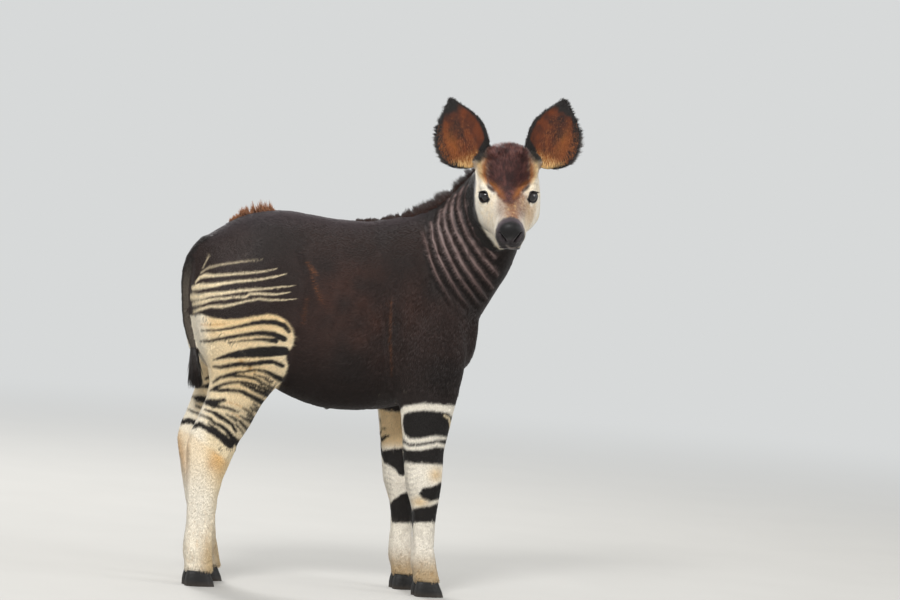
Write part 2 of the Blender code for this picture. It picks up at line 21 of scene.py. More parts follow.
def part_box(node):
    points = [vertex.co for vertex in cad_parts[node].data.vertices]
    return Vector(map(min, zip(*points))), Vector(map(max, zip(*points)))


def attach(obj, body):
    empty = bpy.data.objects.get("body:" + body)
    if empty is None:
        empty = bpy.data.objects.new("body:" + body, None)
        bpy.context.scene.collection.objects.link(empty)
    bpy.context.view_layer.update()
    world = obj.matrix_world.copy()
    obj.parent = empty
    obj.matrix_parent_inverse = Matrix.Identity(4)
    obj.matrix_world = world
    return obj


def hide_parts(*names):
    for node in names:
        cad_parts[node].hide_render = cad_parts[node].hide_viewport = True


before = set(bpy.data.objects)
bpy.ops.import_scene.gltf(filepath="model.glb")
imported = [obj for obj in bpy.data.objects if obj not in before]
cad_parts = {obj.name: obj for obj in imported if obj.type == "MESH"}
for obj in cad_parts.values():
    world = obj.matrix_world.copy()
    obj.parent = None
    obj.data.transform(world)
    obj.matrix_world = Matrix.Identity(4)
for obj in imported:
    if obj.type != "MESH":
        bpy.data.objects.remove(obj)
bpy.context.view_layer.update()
log = logging.getLogger("okapi")

Array = np.ndarray
Mesh, Object = bpy.types.Mesh, bpy.types.Object
Material, NodeTree = bpy.types.Material, bpy.types.NodeTree
SIDES = {"right": -1.0, "left": 1.0}
WELD = 1e-5  # metres within which copied vertices are one
SENSOR = 36.0  # millimetres across the camera's sensor


class Region(IntEnum):
    """The parts of the skin that differ in the lie, length and colour of the coat."""

    TRUNK = 0
    NECK = 1
    HEAD = 2
    TAIL = 3
    FORE_RIGHT = 4
    FORE_LEFT = 5
    HIND_RIGHT = 6
    HIND_LEFT = 7
    EAR_RIGHT = 8
    EAR_LEFT = 9


BODY = (Region.TRUNK, Region.NECK)
FORELEGS = (Region.FORE_RIGHT, Region.FORE_LEFT)
HINDLEGS = (Region.HIND_RIGHT, Region.HIND_LEFT)
LEGS = FORELEGS + HINDLEGS
BLADES = {"right": Region.EAR_RIGHT, "left": Region.EAR_LEFT}
EAR_BLADES = tuple(BLADES.values())

# The region that each flesh solid gives the skin
FLESH = {name: Region[name.upper()] for name in ("trunk", "neck", "head", "tail")}
FLESH |= {
    f"{leg}leg_{side}_{half}": Region[f"{leg}_{side}".upper()]
    for leg in ("fore", "hind")
    for side in SIDES
    for half in ("upper", "lower")
}
FLESH |= {f"ear_{side}": blade for side, blade in BLADES.items()}


def linear(code: str) -> Array:
    """The linear red, green and blue of an sRGB hex colour."""
    srgb = np.array([int(code[i : i + 2], 16) / 255 for i in (1, 3, 5)])
    return np.where(srgb <= 0.04045, srgb / 12.92, ((srgb + 0.055) / 1.055) ** 2.4)


def step(low: float, high: float, value: Array) -> Array:
    """A smooth step from 0 at low to 1 at high, either way round."""
    share = np.clip((value - low) / (high - low), 0.0, 1.0)
    return share * share * (3 - 2 * share)


def bump(value: Array, middle: float | Array, width: float) -> Array:
    """A bell of height 1 about the middle, down to a third one width away."""
    return np.exp(-(((value - middle) / width) ** 2))


def unit(rows: Array) -> Array:
    """Each row at length 1."""
    return rows / np.maximum(np.linalg.norm(rows, axis=1), 1e-9)[:, None]


def lumps(at: Array, size: float, seed: int) -> Array:
    """Smooth value noise from -1 to 1.

    Args:
        at: Places, one row each.
        size: The size of one lump, in the places' own unit.
        seed: Which noise.

    Returns:
        The noise at each place.
    """
    scaled = np.asarray(at, float) / size + 1000.0 + seed * 17.0
    cell = np.floor(scaled).astype(np.int64)
    part = scaled - cell
    part = part * part * (3 - 2 * part)
    total = np.zeros(len(scaled))
    axes = scaled.shape[1]
    for corner in range(2**axes):
        code = np.full(len(scaled), seed * 7919 + 11, np.int64)
        weight = np.ones(len(scaled))
        for axis in range(axes):
            high = corner >> axis & 1
            code = (code * 73856093 + (cell[:, axis] + high) * (19349663 + axis * 83492791)) & 0x7FFFFFFF
            code = (code ^ (code >> 13)) * 60493 & 0x7FFFFFFF
            weight *= part[:, axis] if high else 1 - part[:, axis]
        total += weight * ((code % 65536) / 32767.5 - 1.0)
    return total


def moved(points: Array, by: Matrix) -> Array:
    """The points after a transform."""
    turn = np.array(by)
    return np.asarray(points) @ turn[:3, :3].T + turn[:3, 3]


def nearest(spots: Array, points: Array) -> Array:
    """The number of the spot that is nearest to each point.

    Args:
        spots: Where to look.
        points: The places to start from.

    Returns:
        One number for each point.
    """
    tree = KDTree(len(spots))
    for i, spot in enumerate(spots):
        tree.insert(spot, i)
    tree.balance()
    return np.array([tree.find(point)[1] for point in points])


@dataclass(frozen=True)
class Placing:
    """Where the head and the photograph's camera stand, in the calf's own frame.

    Attributes match the sizes that the solids were made with.
    """

    head_middle: tuple = (0.4588, -0.2500, 1.1495)
    head_turn: float = 102.5
    head_pitch: float = 24.0
    head_roll: float = 4.5
    head_start: float = -0.15
    eye: tuple = (0.129, 0.0605, -0.029)
    eye_radius: float = 0.0195
    azimuth: float = 16.0
    elevation: float = 2.5
    roll: float = 4.5
    distance: float = 12.0
    view_width: float = 900 / 360  # metres that the frame's long side shows at the calf
    view_side: float = 0.3730
    view_height: float = 0.8308
    columns: int = 900
    rows: int = 600

    def head(self) -> Matrix:
        """From the head's frame, u along the bridge, v to the left and w up, to the calf's."""
        turn = Matrix.Rotation(-math.radians(self.head_turn), 4, "Z")
        pitch = Matrix.Rotation(math.radians(self.head_pitch), 4, "Y")
        roll = Matrix.Rotation(math.radians(self.head_roll), 4, "X")
        start = Matrix.Translation((self.head_start, 0.0, 0.0))
        return Matrix.Translation(self.head_middle) @ turn @ pitch @ roll @ start

    def origin(self) -> Vector:
        """The calf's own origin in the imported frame, read from where the right eye is."""
        low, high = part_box("eye_right")
        u, v, w = self.eye
        return (low + high) / 2 - self.head() @ Vector((u, -v, w))

    def camera(self) -> Matrix:
        """The photograph's camera, in the calf's own frame."""
        side, up = math.radians(self.azimuth), math.radians(self.elevation)
        ahead = Vector((math.sin(side) * math.cos(up), math.cos(side) * math.cos(up), -math.sin(up)))
        right = Vector((math.cos(side), -math.sin(side), 0.0))
        target = right * self.view_side + Vector((0.0, 0.0, self.view_height))
        turn = Quaternion(ahead, -math.radians(self.roll)) @ ahead.to_track_quat("-Z", "Y")
        return Matrix.Translation(target - ahead * self.distance) @ turn.to_matrix().to_4x4()

    def to_head(self, points: Array) -> Array:
        """The head-frame places of points in the calf's frame."""
        return moved(points, self.head().inverted())

    def from_head(self, points: Array) -> Array:
        """The calf-frame places of points in the head's frame."""
        return moved(points, self.head())

    def eye_at(self, sign: float) -> Array:
        """The middle of an eyeball in the head's frame: the right one for -1, the left one for 1."""
        return np.array(self.eye) * (1, sign, 1)

    def eye_gap(self, place: Array) -> Array:
        """How far each place of the head's frame is from the middle of the nearer eyeball."""
        return np.minimum(*[np.linalg.norm(place - self.eye_at(sign), axis=1) for sign in SIDES.values()])

    def picture(self, points: Array) -> Array:
        """The column and row where the photograph's camera sees each point of the calf's frame."""
        seen = moved(points, self.camera().inverted())
        scale = self.distance * self.columns / self.view_width / -seen[:, 2]
        return np.column_stack([self.columns / 2 + seen[:, 0] * scale, self.rows / 2 - seen[:, 1] * scale])


PLACING = Placing()
ORIGIN = np.array(PLACING.origin())
HEAD_AXES = np.array(PLACING.head().to_3x3())  # columns: forward, left and up of the head


def link(name: str, data: bpy.types.ID) -> Object:
    """Links a new object.

    Args:
        name: The object's name.
        data: The mesh, lamp or camera that it holds.

    Returns:
        The object.
    """
    obj = bpy.data.objects.new(name, data)
    bpy.context.scene.collection.objects.link(obj)
    return obj


def add_mesh(name: str, points: Array | list, faces: list, smooth: bool = True) -> Object:
    """Links a new mesh object.

    Args:
        name: The object's and the mesh's name.
        points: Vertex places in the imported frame.
        faces: Vertex numbers of each face.
        smooth: Whether its faces shade smoothly.

    Returns:
        The object.
    """
    mesh = bpy.data.meshes.new(name)
    mesh.from_pydata(np.asarray(points).tolist(), [], faces)
    mesh.update()
    if smooth:
        mesh.shade_smooth()
    return link(name, mesh)


def poured(made: bmesh.types.BMesh, mesh: Mesh | str) -> Mesh:
    """Writes an edited mesh back and frees the working copy.

    Args:
        made: The working copy.
        mesh: The mesh that takes it, or the name of a new one.

    Returns:
        The mesh.
    """
    if isinstance(mesh, str):
        mesh = bpy.data.meshes.new(mesh)
    made.to_mesh(mesh)
    made.free()
    return mesh


def settled(obj: Object) -> Object:
    """Replaces an object's mesh with its evaluated one and drops its modifiers.

    Args:
        obj: The object.

    Returns:
        The same object.
    """
    bpy.context.view_layer.update()
    graph = bpy.context.evaluated_depsgraph_get()
    mesh = bpy.data.meshes.new_from_object(obj.evaluated_get(graph), depsgraph=graph)
    obj.modifiers.clear()
    old, obj.data = obj.data, mesh
    bpy.data.meshes.remove(old)
    return obj


def wear(mesh: Mesh, material: Material) -> None:
    """Shades a mesh smoothly and gives it one material.

    Args:
        mesh: The mesh.
        material: What it wears.
    """
    mesh.shade_smooth()
    mesh.materials.clear()
    mesh.materials.append(material)


def read(rows: bpy.types.bpy_prop_collection, key: str, wide: int, kind: type = np.float32) -> Array:
    """Reads one property of a mesh's elements.

    Args:
        rows: The elements.
        key: The property's name.
        wide: How many numbers each holds.
        kind: Their type.

    Returns:
        One row for each element.
    """
    flat = np.empty(len(rows) * wide, kind)
    rows.foreach_get(key, flat)
    return flat.reshape(-1, wide)


def places(mesh: Mesh) -> Array:
    """The vertex places of a mesh, one row each."""
    return read(mesh.vertices, "co", 3).astype(float)


def normals(mesh: Mesh) -> Array:
    """The vertex normals of a mesh, one row each."""
    return read(mesh.vertex_normals, "vector", 3).astype(float)


def edges_of(mesh: Mesh) -> Array:
    """The two vertex numbers of each edge."""
    return read(mesh.edges, "vertices", 2, np.int32)


def triangles_of(mesh: Mesh) -> Array:
    """The three vertex numbers of each triangle of a mesh that has only triangles."""
    return read(mesh.loops, "vertex_index", 1, np.int32).reshape(-1, 3)


def set_places(mesh: Mesh, points: Array) -> None:
    """Moves the vertices of a mesh."""
    mesh.vertices.foreach_set("co", points.astype(np.float32).ravel())
    mesh.update()


def eased(points: Array, edges: Array, rounds: int, share: Array | float) -> Array:
    """Smooths points towards the mean of their neighbours.

    Args:
        points: Vertex places, or any other rows of vertex values.
        edges: Pairs of vertex numbers.
        rounds: How many times to smooth.
        share: How far each vertex goes each time, from 0 to 1.

    Returns:
        The smoothed rows.
    """
    ends = np.concatenate([edges[:, 0], edges[:, 1]])
    others = np.concatenate([edges[:, 1], edges[:, 0]])
    count = np.maximum(np.bincount(ends, minlength=len(points)), 1)[:, None]
    share = np.broadcast_to(np.asarray(share, float), (len(points),))[:, None]
    points = points.copy()
    for _ in range(rounds):
        sums = [np.bincount(ends, points[others, axis], len(points)) for axis in range(points.shape[1])]
        points += (np.column_stack(sums) / count - points) * share
    return points


def set_attribute(mesh: Mesh, name: str, kind: str, values: Array) -> None:
    """Stores one value on each vertex of a mesh.

    Args:
        mesh: The mesh.
        name: The attribute's name.
        kind: Blender's type name for it.
        values: One row for each vertex.
    """
    made = mesh.attributes.new(name, kind, "POINT")
    key = {"FLOAT": "value", "INT": "value", "FLOAT_COLOR": "color"}.get(kind, "vector")
    if kind == "FLOAT_COLOR":
        values = np.column_stack([values, np.ones(len(values))])
    number = np.int32 if kind == "INT" else np.float32
    made.data.foreach_set(key, np.ascontiguousarray(values, number).ravel())


# Markings. A line is a flat run of column, row, half width and a patch is a flat run of column, row, all in
# the photograph's 900 x 600 frame, read off the calf's near side. The far side wears the same marks mirrored.


def line_edge(at: Array, line: tuple) -> Array:
    """How far each place is outside a tapering line.

    Args:
        at: Columns and rows.
        line: The line, as a flat run.

    Returns:
        The distances, negative inside.
    """
    best = np.full(len(at), 99.0)
    knots = np.reshape(line, (-1, 3)).astype(float)
    low, high = knots[:, :2].min(0) - 9, knots[:, :2].max(0) + 9
    near = np.flatnonzero(((at > low) & (at < high)).all(axis=1))
    spot = at[near]
    found = np.full(len(near), 99.0)
    for (x0, y0, r0), (x1, y1, r1) in zip(knots, knots[1:]):
        dx, dy = x1 - x0, y1 - y0
        along = np.clip(((spot[:, 0] - x0) * dx + (spot[:, 1] - y0) * dy) / (dx * dx + dy * dy), 0, 1)
        gap = np.hypot(spot[:, 0] - x0 - along * dx, spot[:, 1] - y0 - along * dy)
        found = np.minimum(found, gap - (r0 + (r1 - r0) * along))
    best[near] = found
    return best


def patch_edge(at: Array, patch: tuple) -> Array:
    """How far each place is outside a patch, negative inside.

    Args:
        at: Columns and rows.
        patch: Its outline, as a flat run.

    Returns:
        The distances.
    """
    corners = np.reshape(patch, (-1, 2)).astype(float)
    gap = np.full(len(at), 99.0)
    inside = np.zeros(len(at), bool)
    for (x0, y0), (x1, y1) in zip(corners, np.roll(corners, -1, axis=0)):
        dx, dy = x1 - x0, y1 - y0
        along = np.clip(((at[:, 0] - x0) * dx + (at[:, 1] - y0) * dy) / (dx * dx + dy * dy + 1e-9), 0, 1)
        gap = np.minimum(gap, np.hypot(at[:, 0] - x0 - along * dx, at[:, 1] - y0 - along * dy))
        crosses = (y0 > at[:, 1]) != (y1 > at[:, 1])
        safe = dy if abs(dy) > 1e-9 else 1e-9
        inside ^= crosses & (at[:, 0] < x0 + (at[:, 1] - y0) * dx / safe)
    return np.where(inside, -gap, gap)


# Haunch: cream lines on the dark croup, from the top down
HAUNCH_CREAM = (
    (196, 282, 0.8, 200, 277.5, 1.7, 205, 275.8, 1.9, 214, 275.8, 1.4, 230, 274.5, 1, 250, 273, 0.9,
     266, 271, 0.7, 277, 268.6, 0.4),
    (194, 288, 2.6, 200, 286.5, 3.2, 210, 285.8, 2.2, 225, 283.3, 1.5, 240, 281.2, 1.2, 258, 279.8, 1,
     272, 277.3, 0.9, 286, 274.2, 0.6),
    (193.5, 297, 3.6, 200, 296.8, 3, 210, 294.5, 2.3, 225, 293, 1.7, 240, 290.8, 1.4, 252, 289.8, 1.1,
     265, 288.8, 0.9, 280, 287, 0.8, 294, 286, 0.4),
    (194, 304, 2, 202, 302.3, 2, 213, 299.5, 1.4, 225, 298.5, 1.3, 236, 297, 1, 245, 297, 1.1,
     250, 294.2, 1, 260, 293.7, 1.1, 275, 294.5, 1, 290, 292.3, 0.6),
    (194, 312, 1.6, 200, 309.3, 1.6, 210, 306.5, 1.3, 222, 306.5, 1.6, 235, 304, 1.1, 248, 301, 0.9,
     258, 299, 0.9, 270, 300, 0.9, 284, 300, 0.8, 296, 299, 0.3),
)
HAUNCH_FAINT = (
    (201, 273, 0.5, 208, 268, 0.9, 222, 264.5, 0.8, 240, 262, 0.6, 262, 259.8, 0.3),
    (203, 268, 0.4, 209, 256, 0.5),
)
# Thigh: the pale field under them, from the dark wedge to the hock
THIGH_PALE = (150, 316, 196, 315.5, 202, 314.5, 212, 318, 225, 319.8, 240, 319, 258, 316, 268, 314.3,
              276, 315.3, 283, 318.6, 288, 322.5, 292, 329, 294.5, 337, 293, 345, 290, 350, 286, 354,
              286, 360, 288, 366, 285, 374, 281, 382, 276, 392, 270, 402, 266, 420, 262, 450, 262, 640,
              150, 640)
THIGH_DARK = (
    (201, 330.4, 0.4, 206, 330.6, 0.8, 215, 330.5, 1, 230, 328.4, 1.2, 240, 326.3, 1.4, 250, 324, 1.8,
     262, 322, 2.4, 275, 322.4, 2.6, 284, 325.5, 2.6, 289, 331, 2.2),
    (201, 341.4, 0.8, 210, 341, 1.3, 222, 338.7, 1.6, 235, 336.4, 1.6, 250, 334, 2, 262, 333, 2.5,
     274, 334.5, 3, 284, 339, 3),
    (228, 342.6, 0.5, 245, 340.4, 0.8, 262, 339.4, 1.4, 276, 341, 2.4),
    (213, 360.2, 0.4, 221, 357.6, 1.5, 229, 355.6, 2.6, 240, 354, 4, 252, 352.6, 5, 264, 352, 5.4,
     276, 351, 5.2, 285, 351, 4.2),
    (213, 366.4, 0.5, 220, 367.2, 1.6, 230, 365.4, 2.2, 240, 364, 2.2, 250, 364.4, 2.3, 262, 362.4, 2.3,
     272, 361.6, 2, 282, 365.5, 2.2),
    (213.5, 382, 0.6, 220, 377.6, 1.2, 229, 375.4, 1.5, 245, 376.5, 1, 255, 378.4, 1.1, 262, 383, 1.2,
     272, 388, 1.2),
    (226, 375, 0.8, 236, 372.6, 1.1, 246, 371.3, 0.8, 256, 369.6, 1, 266, 371.6, 1.5, 274, 376, 2.2,
     280, 379, 2.6),
    (254, 374.4, 0.4, 262, 377, 0.6, 271, 382.6, 0.7),
    (211, 390.4, 0.6, 216, 387.4, 1.3, 224, 384, 1.1, 232, 382.3, 1, 242, 382, 0.9, 250, 383.3, 0.9,
     258, 386, 1, 270, 391.4, 1.4),
    (241, 383.8, 0.5, 250, 387.2, 1.5, 258, 391, 2, 267, 395, 2.2),
    (212, 390, 0.9, 220, 390.3, 1.4, 235, 390.4, 1.4, 243, 392, 1.6, 252, 397, 2.1, 263, 402.6, 2.6),
    (208, 402.5, 2.8, 214, 402.8, 3.6, 219, 401.4, 1.8, 225, 399.8, 1),
    (213, 405.5, 2, 218, 406.8, 1.3, 224, 407.2, 1.2, 232, 409.6, 1, 238, 411.6, 0.6),
    (205, 409.5, 0.5, 212, 412, 0.9, 216, 414, 1.8, 222, 418, 2.1, 227, 421, 1.5, 232, 424.6, 1.3,
     236, 431.5, 0.9),
    (200, 414.5, 0.5, 210, 418.5, 1, 214, 423, 1.2, 221, 426, 1.7, 226, 430, 1.8, 231, 436, 2.1,
     236, 442, 3.2, 240, 446, 3.2),
    (190, 428.6, 0.8, 194, 426.4, 1.5, 199, 424.4, 2.3, 205, 427, 2.1, 211, 431, 2.6, 218, 434.4, 3.2,
     224, 439, 3.8, 230, 445, 3.4),
    (208, 423, 0.4, 213, 427.4, 0.9, 219, 431.4, 0.9),
    (253, 403.4, 0.4, 259, 408.6, 0.8), (250, 407.6, 0.4, 258, 411.4, 1.2),
    (247, 414.6, 0.5, 256, 418.4, 1.6), (246, 418.6, 0.6, 254, 421.8, 1.6),
    (240, 416, 0.4, 250, 422, 0.8, 253, 425, 0.9), (240, 421, 0.4, 249, 430, 0.9),
    (243, 408, 0.35, 252, 414, 0.5), (236, 424, 0.35, 244, 434, 0.5, 246, 438, 0.5),
    (232, 416, 0.3, 240, 422, 0.4, 246, 430, 0.4), (226, 414, 0.3, 236, 421, 0.4),
)
THIGH_OCHRE = (
    (201, 324.5, 0.5, 215, 324.8, 0.7, 225, 324.2, 0.3),
    (225, 401.2, 0.6, 235, 404, 0.6, 243, 407.2, 0.6, 250, 412, 0.4),
    (232, 413, 0.3, 241, 418, 0.5), (240, 360, 0.9, 250, 368, 0.9, 255, 372, 0.7),
)

# Outer face of a foreleg
FORE_PALE = (397, 409, 401, 409.5, 404, 406, 412, 405, 424, 403.2, 440, 404.6, 458, 406, 470, 406,
             470, 640, 397, 640)
FORE_DARK = (
    (404, 414, 408, 412.6, 420, 410.5, 434, 410.8, 448, 413, 452, 417, 450, 432, 447, 438, 444, 436.8,
     438, 436, 430, 436.4, 420, 438.6, 409, 438.4, 405, 434, 402.8, 424),
    (401, 437, 404, 440, 410, 444, 421, 443.1, 437, 440.2, 447, 439.4, 447, 444.6, 437, 442.6, 421, 445.7,
     410, 446.6, 403, 443, 401, 441),
    (401, 446.5, 407, 450, 420, 450.5, 437, 447, 450, 449, 450, 465.5, 440, 464.5, 428, 464, 414, 463.4,
     403, 461, 400, 459),
    (446, 479, 441, 482, 434, 486, 423, 488, 418.5, 494, 422, 498, 430, 501.5, 440, 499, 448, 490),
    (402, 509.5, 412, 509, 421, 507, 430, 506.4, 445, 500, 445, 522.5, 402, 522.5),
)
FORE_CREAM = ((443.5, 415, 0.6, 448.5, 418, 1, 450.3, 424, 1, 449.4, 430, 0.6),)
# Inner face of a foreleg
INNER_PALE = (370, 408, 380, 409.5, 390, 411.5, 400, 412, 440, 408, 440, 640, 370, 640)
INNER_DARK = (
    (377, 452.5, 388, 449.5, 401, 448, 440, 446, 440, 466, 406, 472, 403, 476.5, 399, 475.5, 396, 470,
     388, 465, 377, 461),
    (380, 509.5, 387, 508.5, 393, 500, 400, 495, 407, 491.5, 440, 491, 440, 523, 380, 523),
)
INNER_LINES = (
    (376.6, 411, 0.6, 379.2, 420, 2, 380.6, 432, 1.5),
    (380, 429, 0.7, 386, 428.4, 0.4),
    (379.5, 440.4, 2.8, 384, 437.8, 2, 389.5, 435.2, 0.6),
)


@dataclass(frozen=True)
class CoatColours:
    """The colours of the coat, as sRGB hex, read where the photograph shows them free of haze."""

    black: str = "#171210"
    chocolate: str = "#2a1c18"
    # a painted sheen for the back's highlight, not a colour of the hair
    painted_back_sheen: str = "#4a4246"
    red_brown: str = "#4a2a1e"
    flank_red: str = "#a5622f"
    # painted highlights along the tops of the neck's pleats, the second on their crests only
    pleat: str = "#6b5450"
    pleat_top_highlight: str = "#a58f8a"
    cream: str = "#efdcb8"
    white: str = "#f4ecdd"
    butter: str = "#e9c68c"
    ochre: str = "#c08c46"
    tan: str = "#dcac66"
    pastern: str = "#b3935f"
    ripple: str = "#6f675c"
    maroon: str = "#4a2420"
    maroon_dark: str = "#2e1614"
    maroon_light_and_sheen: str = "#8a5a50"
    # lighter maroon, for mottling and for a painted sheen on the crown
    brow_brown: str = "#7d4a26"
    orange: str = "#b06a22"
    gold: str = "#a57c4c"
    ear_orange: str = "#652d0b"
    # dark brown, for mottling and for painted shade in the conch's hollow
    ear_mottle_and_shade: str = "#2c130a"
    muzzle: str = "#1f191b"
    nose: str = "#090708"
    mauve: str = "#6e5f66"
    grey: str = "#a89c93"
    tail_grey: str = "#6d6357"


HUES = CoatColours()


class Paint:
    """Colours being laid on places of the hide, one over another."""

    def __init__(self, count: int, colour: str) -> None:
        """Starts every place in one colour."""
        self.rgb = np.tile(linear(colour), (count, 1))

    def some(self, here: Array) -> "Paint":
        """Some of the places, to be painted on their own."""
        part = Paint(0, HUES.black)
        part.rgb = self.rgb[here]
        return part

    def over(self, share: Array, colour: str) -> None:
        """Lays a colour over each place by its share from 0 to 1."""
        self.rgb += (linear(colour) - self.rgb) * np.clip(share, 0.0, 1.0)[:, None]

    def within(self, edge: Array, colour: str, soft: float = 0.55, share: float | Array = 1.0) -> None:
        """Lays a colour where a distance to an edge is negative, softly over the edge."""
        self.over(step(soft, -soft, edge) * share, colour)


@dataclass(frozen=True)
class Hide:
    """Where each mark of the coat lies. The skin and the tufts read their colours from it."""

    fore_shift: float = -0.021  # how far the left forefoot stands ahead of the right
    hind_shift: float = 0.055
    fore_span: tuple = (0.680, 0.540)  # heights between which a leg swings out to its shift
    hind_span: tuple = (0.420, 0.050)
    wobble: float = 0.30  # how far the hair blurs a mark's edge, in the picture's pixels

    def near_side(self, points: Array, region: Array) -> Array:
        """The points moved to where the right side has the same mark, with both feet level."""
        near = points.copy()
        for name, shift, (root, swung) in (
            (Region.FORE_LEFT, self.fore_shift, self.fore_span),
            (Region.HIND_LEFT, self.hind_shift, self.hind_span),
        ):
            fall = np.clip((root - points[:, 2]) / (root - swung), 0.0, 1.0)
            near[:, 0] -= np.where(region == name, shift * fall, 0.0)
        near[:, 1] = -np.abs(points[:, 1])
        return near

    def colour(self, points: Array, region: Array, facing: Array) -> Array:
        """The coat's colour at each place.

        Args:
            points: Places in the calf's own frame.
            region: Each place's region number.
            facing: The skin's outward direction at each place.

        Returns:
            Linear red, green and blue, one row each.
        """
        fine = lumps(points, 0.006, 3) * 0.6 + lumps(points, 0.0025, 4) * 0.4
        near = self.near_side(points, region)
        wobble = np.column_stack([lumps(points, 0.004, seed) for seed in (5, 6)]) * self.wobble
        at = PLACING.picture(near) + wobble
        paint = Paint(len(points), HUES.chocolate)
        self.trunk(paint, points, near, region, facing, fine)
        self.haunch(paint, points, at, region, fine)
        self.forelegs(paint, points, near, at, region, fine)
        self.tail(paint, points, region, facing)
        self.head(paint, points, region, facing, fine)
        self.ears(paint, points, region, facing, fine)
        return paint.rgb

    def trunk(
        self, paint: Paint, points: Array, near: Array, region: Array, facing: Array, fine: Array
    ) -> None:
        """The dark body: near black low down, a painted slate sheen along the back and red-brown in patches
        between.
        """
        x, height = points[:, 0], points[:, 2]
        broad = lumps(points, 0.09, 1)
        paint.over(step(0.35, -0.6, broad) * 0.6, HUES.black)
        flank = bump(x, 0.10, 0.17) * bump(height, 0.80, 0.13)
        paint.over(flank * (0.45 + 0.45 * lumps(points, 0.05, 2)), HUES.red_brown)
        # painted highlight: a slate sheen on the faces that turn upward, standing for the sky's light on the
        # back
        paint.over(step(0.45, 0.95, facing[:, 2]) * 0.5, HUES.painted_back_sheen)
        paint.over(step(0.66, 0.54, height) * 0.5, HUES.black)
        side = near[:, 1] < -0.04
        seen = PLACING.picture(near)
        for line, share in (
            ((307, 262, 0.2, 311, 268, 0.6, 316, 275, 0.6), 0.7),
            ((311.5, 273, 0.2, 316.5, 290, 0.5, 322, 304, 0.2), 0.6),
            ((308.5, 296, 0.2, 305.4, 305, 0.3, 302.5, 326, 0.1), 0.35),
        ):
            paint.within(line_edge(seen, line), HUES.flank_red, 1.0, share * side)
        elbow = line_edge(seen, (391, 300, 0.2, 390, 340, 0.4, 392, 376, 0.2))
        paint.within(elbow, HUES.flank_red, 1.0, 0.35 * side)
        at = PLACING.picture(points)
        ridge = Folds().ridges(at) * step(0.0, -0.30, facing[:, 1]) * (height > 0.8) * (x > 0.12)
        fold = np.isin(region, BODY) * step(418, 434, at[:, 0])
        # painted shade in the creases between the neck's pleats, and painted highlights along their tops
        crease_shade = fold * step(0.0, -0.3, facing[:, 1]) * step(0.7, 0.1, ridge) * step(312, 290, at[:, 1])
        paint.over(crease_shade * 0.55, HUES.black)
        paint.over(ridge**2.2 * step(318, 262, at[:, 1]) * (0.80 + 0.35 * fine), HUES.pleat)
        paint.over(ridge**7 * step(290, 250, at[:, 1]) * (0.45 + 0.35 * fine), HUES.pleat_top_highlight)
        paint.over(0.30 * step(0.0, 1.0, fine), HUES.black)

    def haunch(self, paint: Paint, points: Array, at: Array, region: Array, fine: Array) -> None:
        """Cream lines over the croup, then the pale thigh with its dark stripes down to the hock."""
        hind = np.isin(region, HINDLEGS)
        here = np.flatnonzero((points[:, 0] < 0.02) & (hind | (region == Region.TRUNK)))
        spot, fleck = at[here], fine[here]
        column, row = spot.T
        part = paint.some(here)
        leg = hind[here]
        pale = patch_edge(spot, THIGH_PALE)
        part.within(pale, HUES.cream, 0.7)
        warm = step(196, 214, column) * step(352, 318, row) + bump(column, 246, 30) * bump(row, 372, 30)
        inside = step(0.7, -0.7, pale)
        part.over(inside * 0.65 * np.clip(warm, 0, 1), HUES.butter)
        part.over(inside * step(214, 198, column) * 0.7, HUES.white)
        ripples = np.sin((row * 0.9 - column * 0.75) * 2.2 + fleck * 2.0)
        shank = step(222, 240, column) * step(402, 412, row) * step(446, 436, row)
        part.over(inside * 0.5 * step(0.35, 0.95, ripples) * shank, HUES.ripple)
        for line in THIGH_OCHRE:
            part.within(line_edge(spot, line), HUES.ochre, 0.7, 0.75)
        for line in THIGH_DARK:
            part.within(line_edge(spot, line) - 0.15 - 0.35 * step(360, 380, row), HUES.black)
        for line in HAUNCH_CREAM:
            part.within(line_edge(spot, line) + 0.2, HUES.cream)
        for line in HAUNCH_FAINT:
            part.within(line_edge(spot, line), HUES.cream, 0.6, 0.55)
        below = step(444, 452, row + (column - 210) * -0.75) * leg
        for share, colour in (
            (0.35 * step(505, 450, row), HUES.butter),
            (0.80 * bump(column, 219, 9) * bump(row, 456, 20), HUES.tan),
            (0.55 * bump(column, 212, 5) * bump(row, 464, 7), HUES.ochre),
            (0.85 * step(192, 184, column) * step(505, 462, row), HUES.ochre),
            (0.70 * step(222, 208, column) * bump(row, 506, 34), HUES.white),
            (0.65 * step(525, 560, row) * step(192, 210, column), HUES.pastern),
            (0.35 * step(0.0, 0.8, fleck) * step(470, 550, row), HUES.ochre),
            (0.30 * step(0.3, 0.8, fleck) * bump(column, 212, 8) * step(520, 545, row), HUES.grey),
        ):
            part.over(below * share, colour)
        paint.rgb[here] = part.rgb

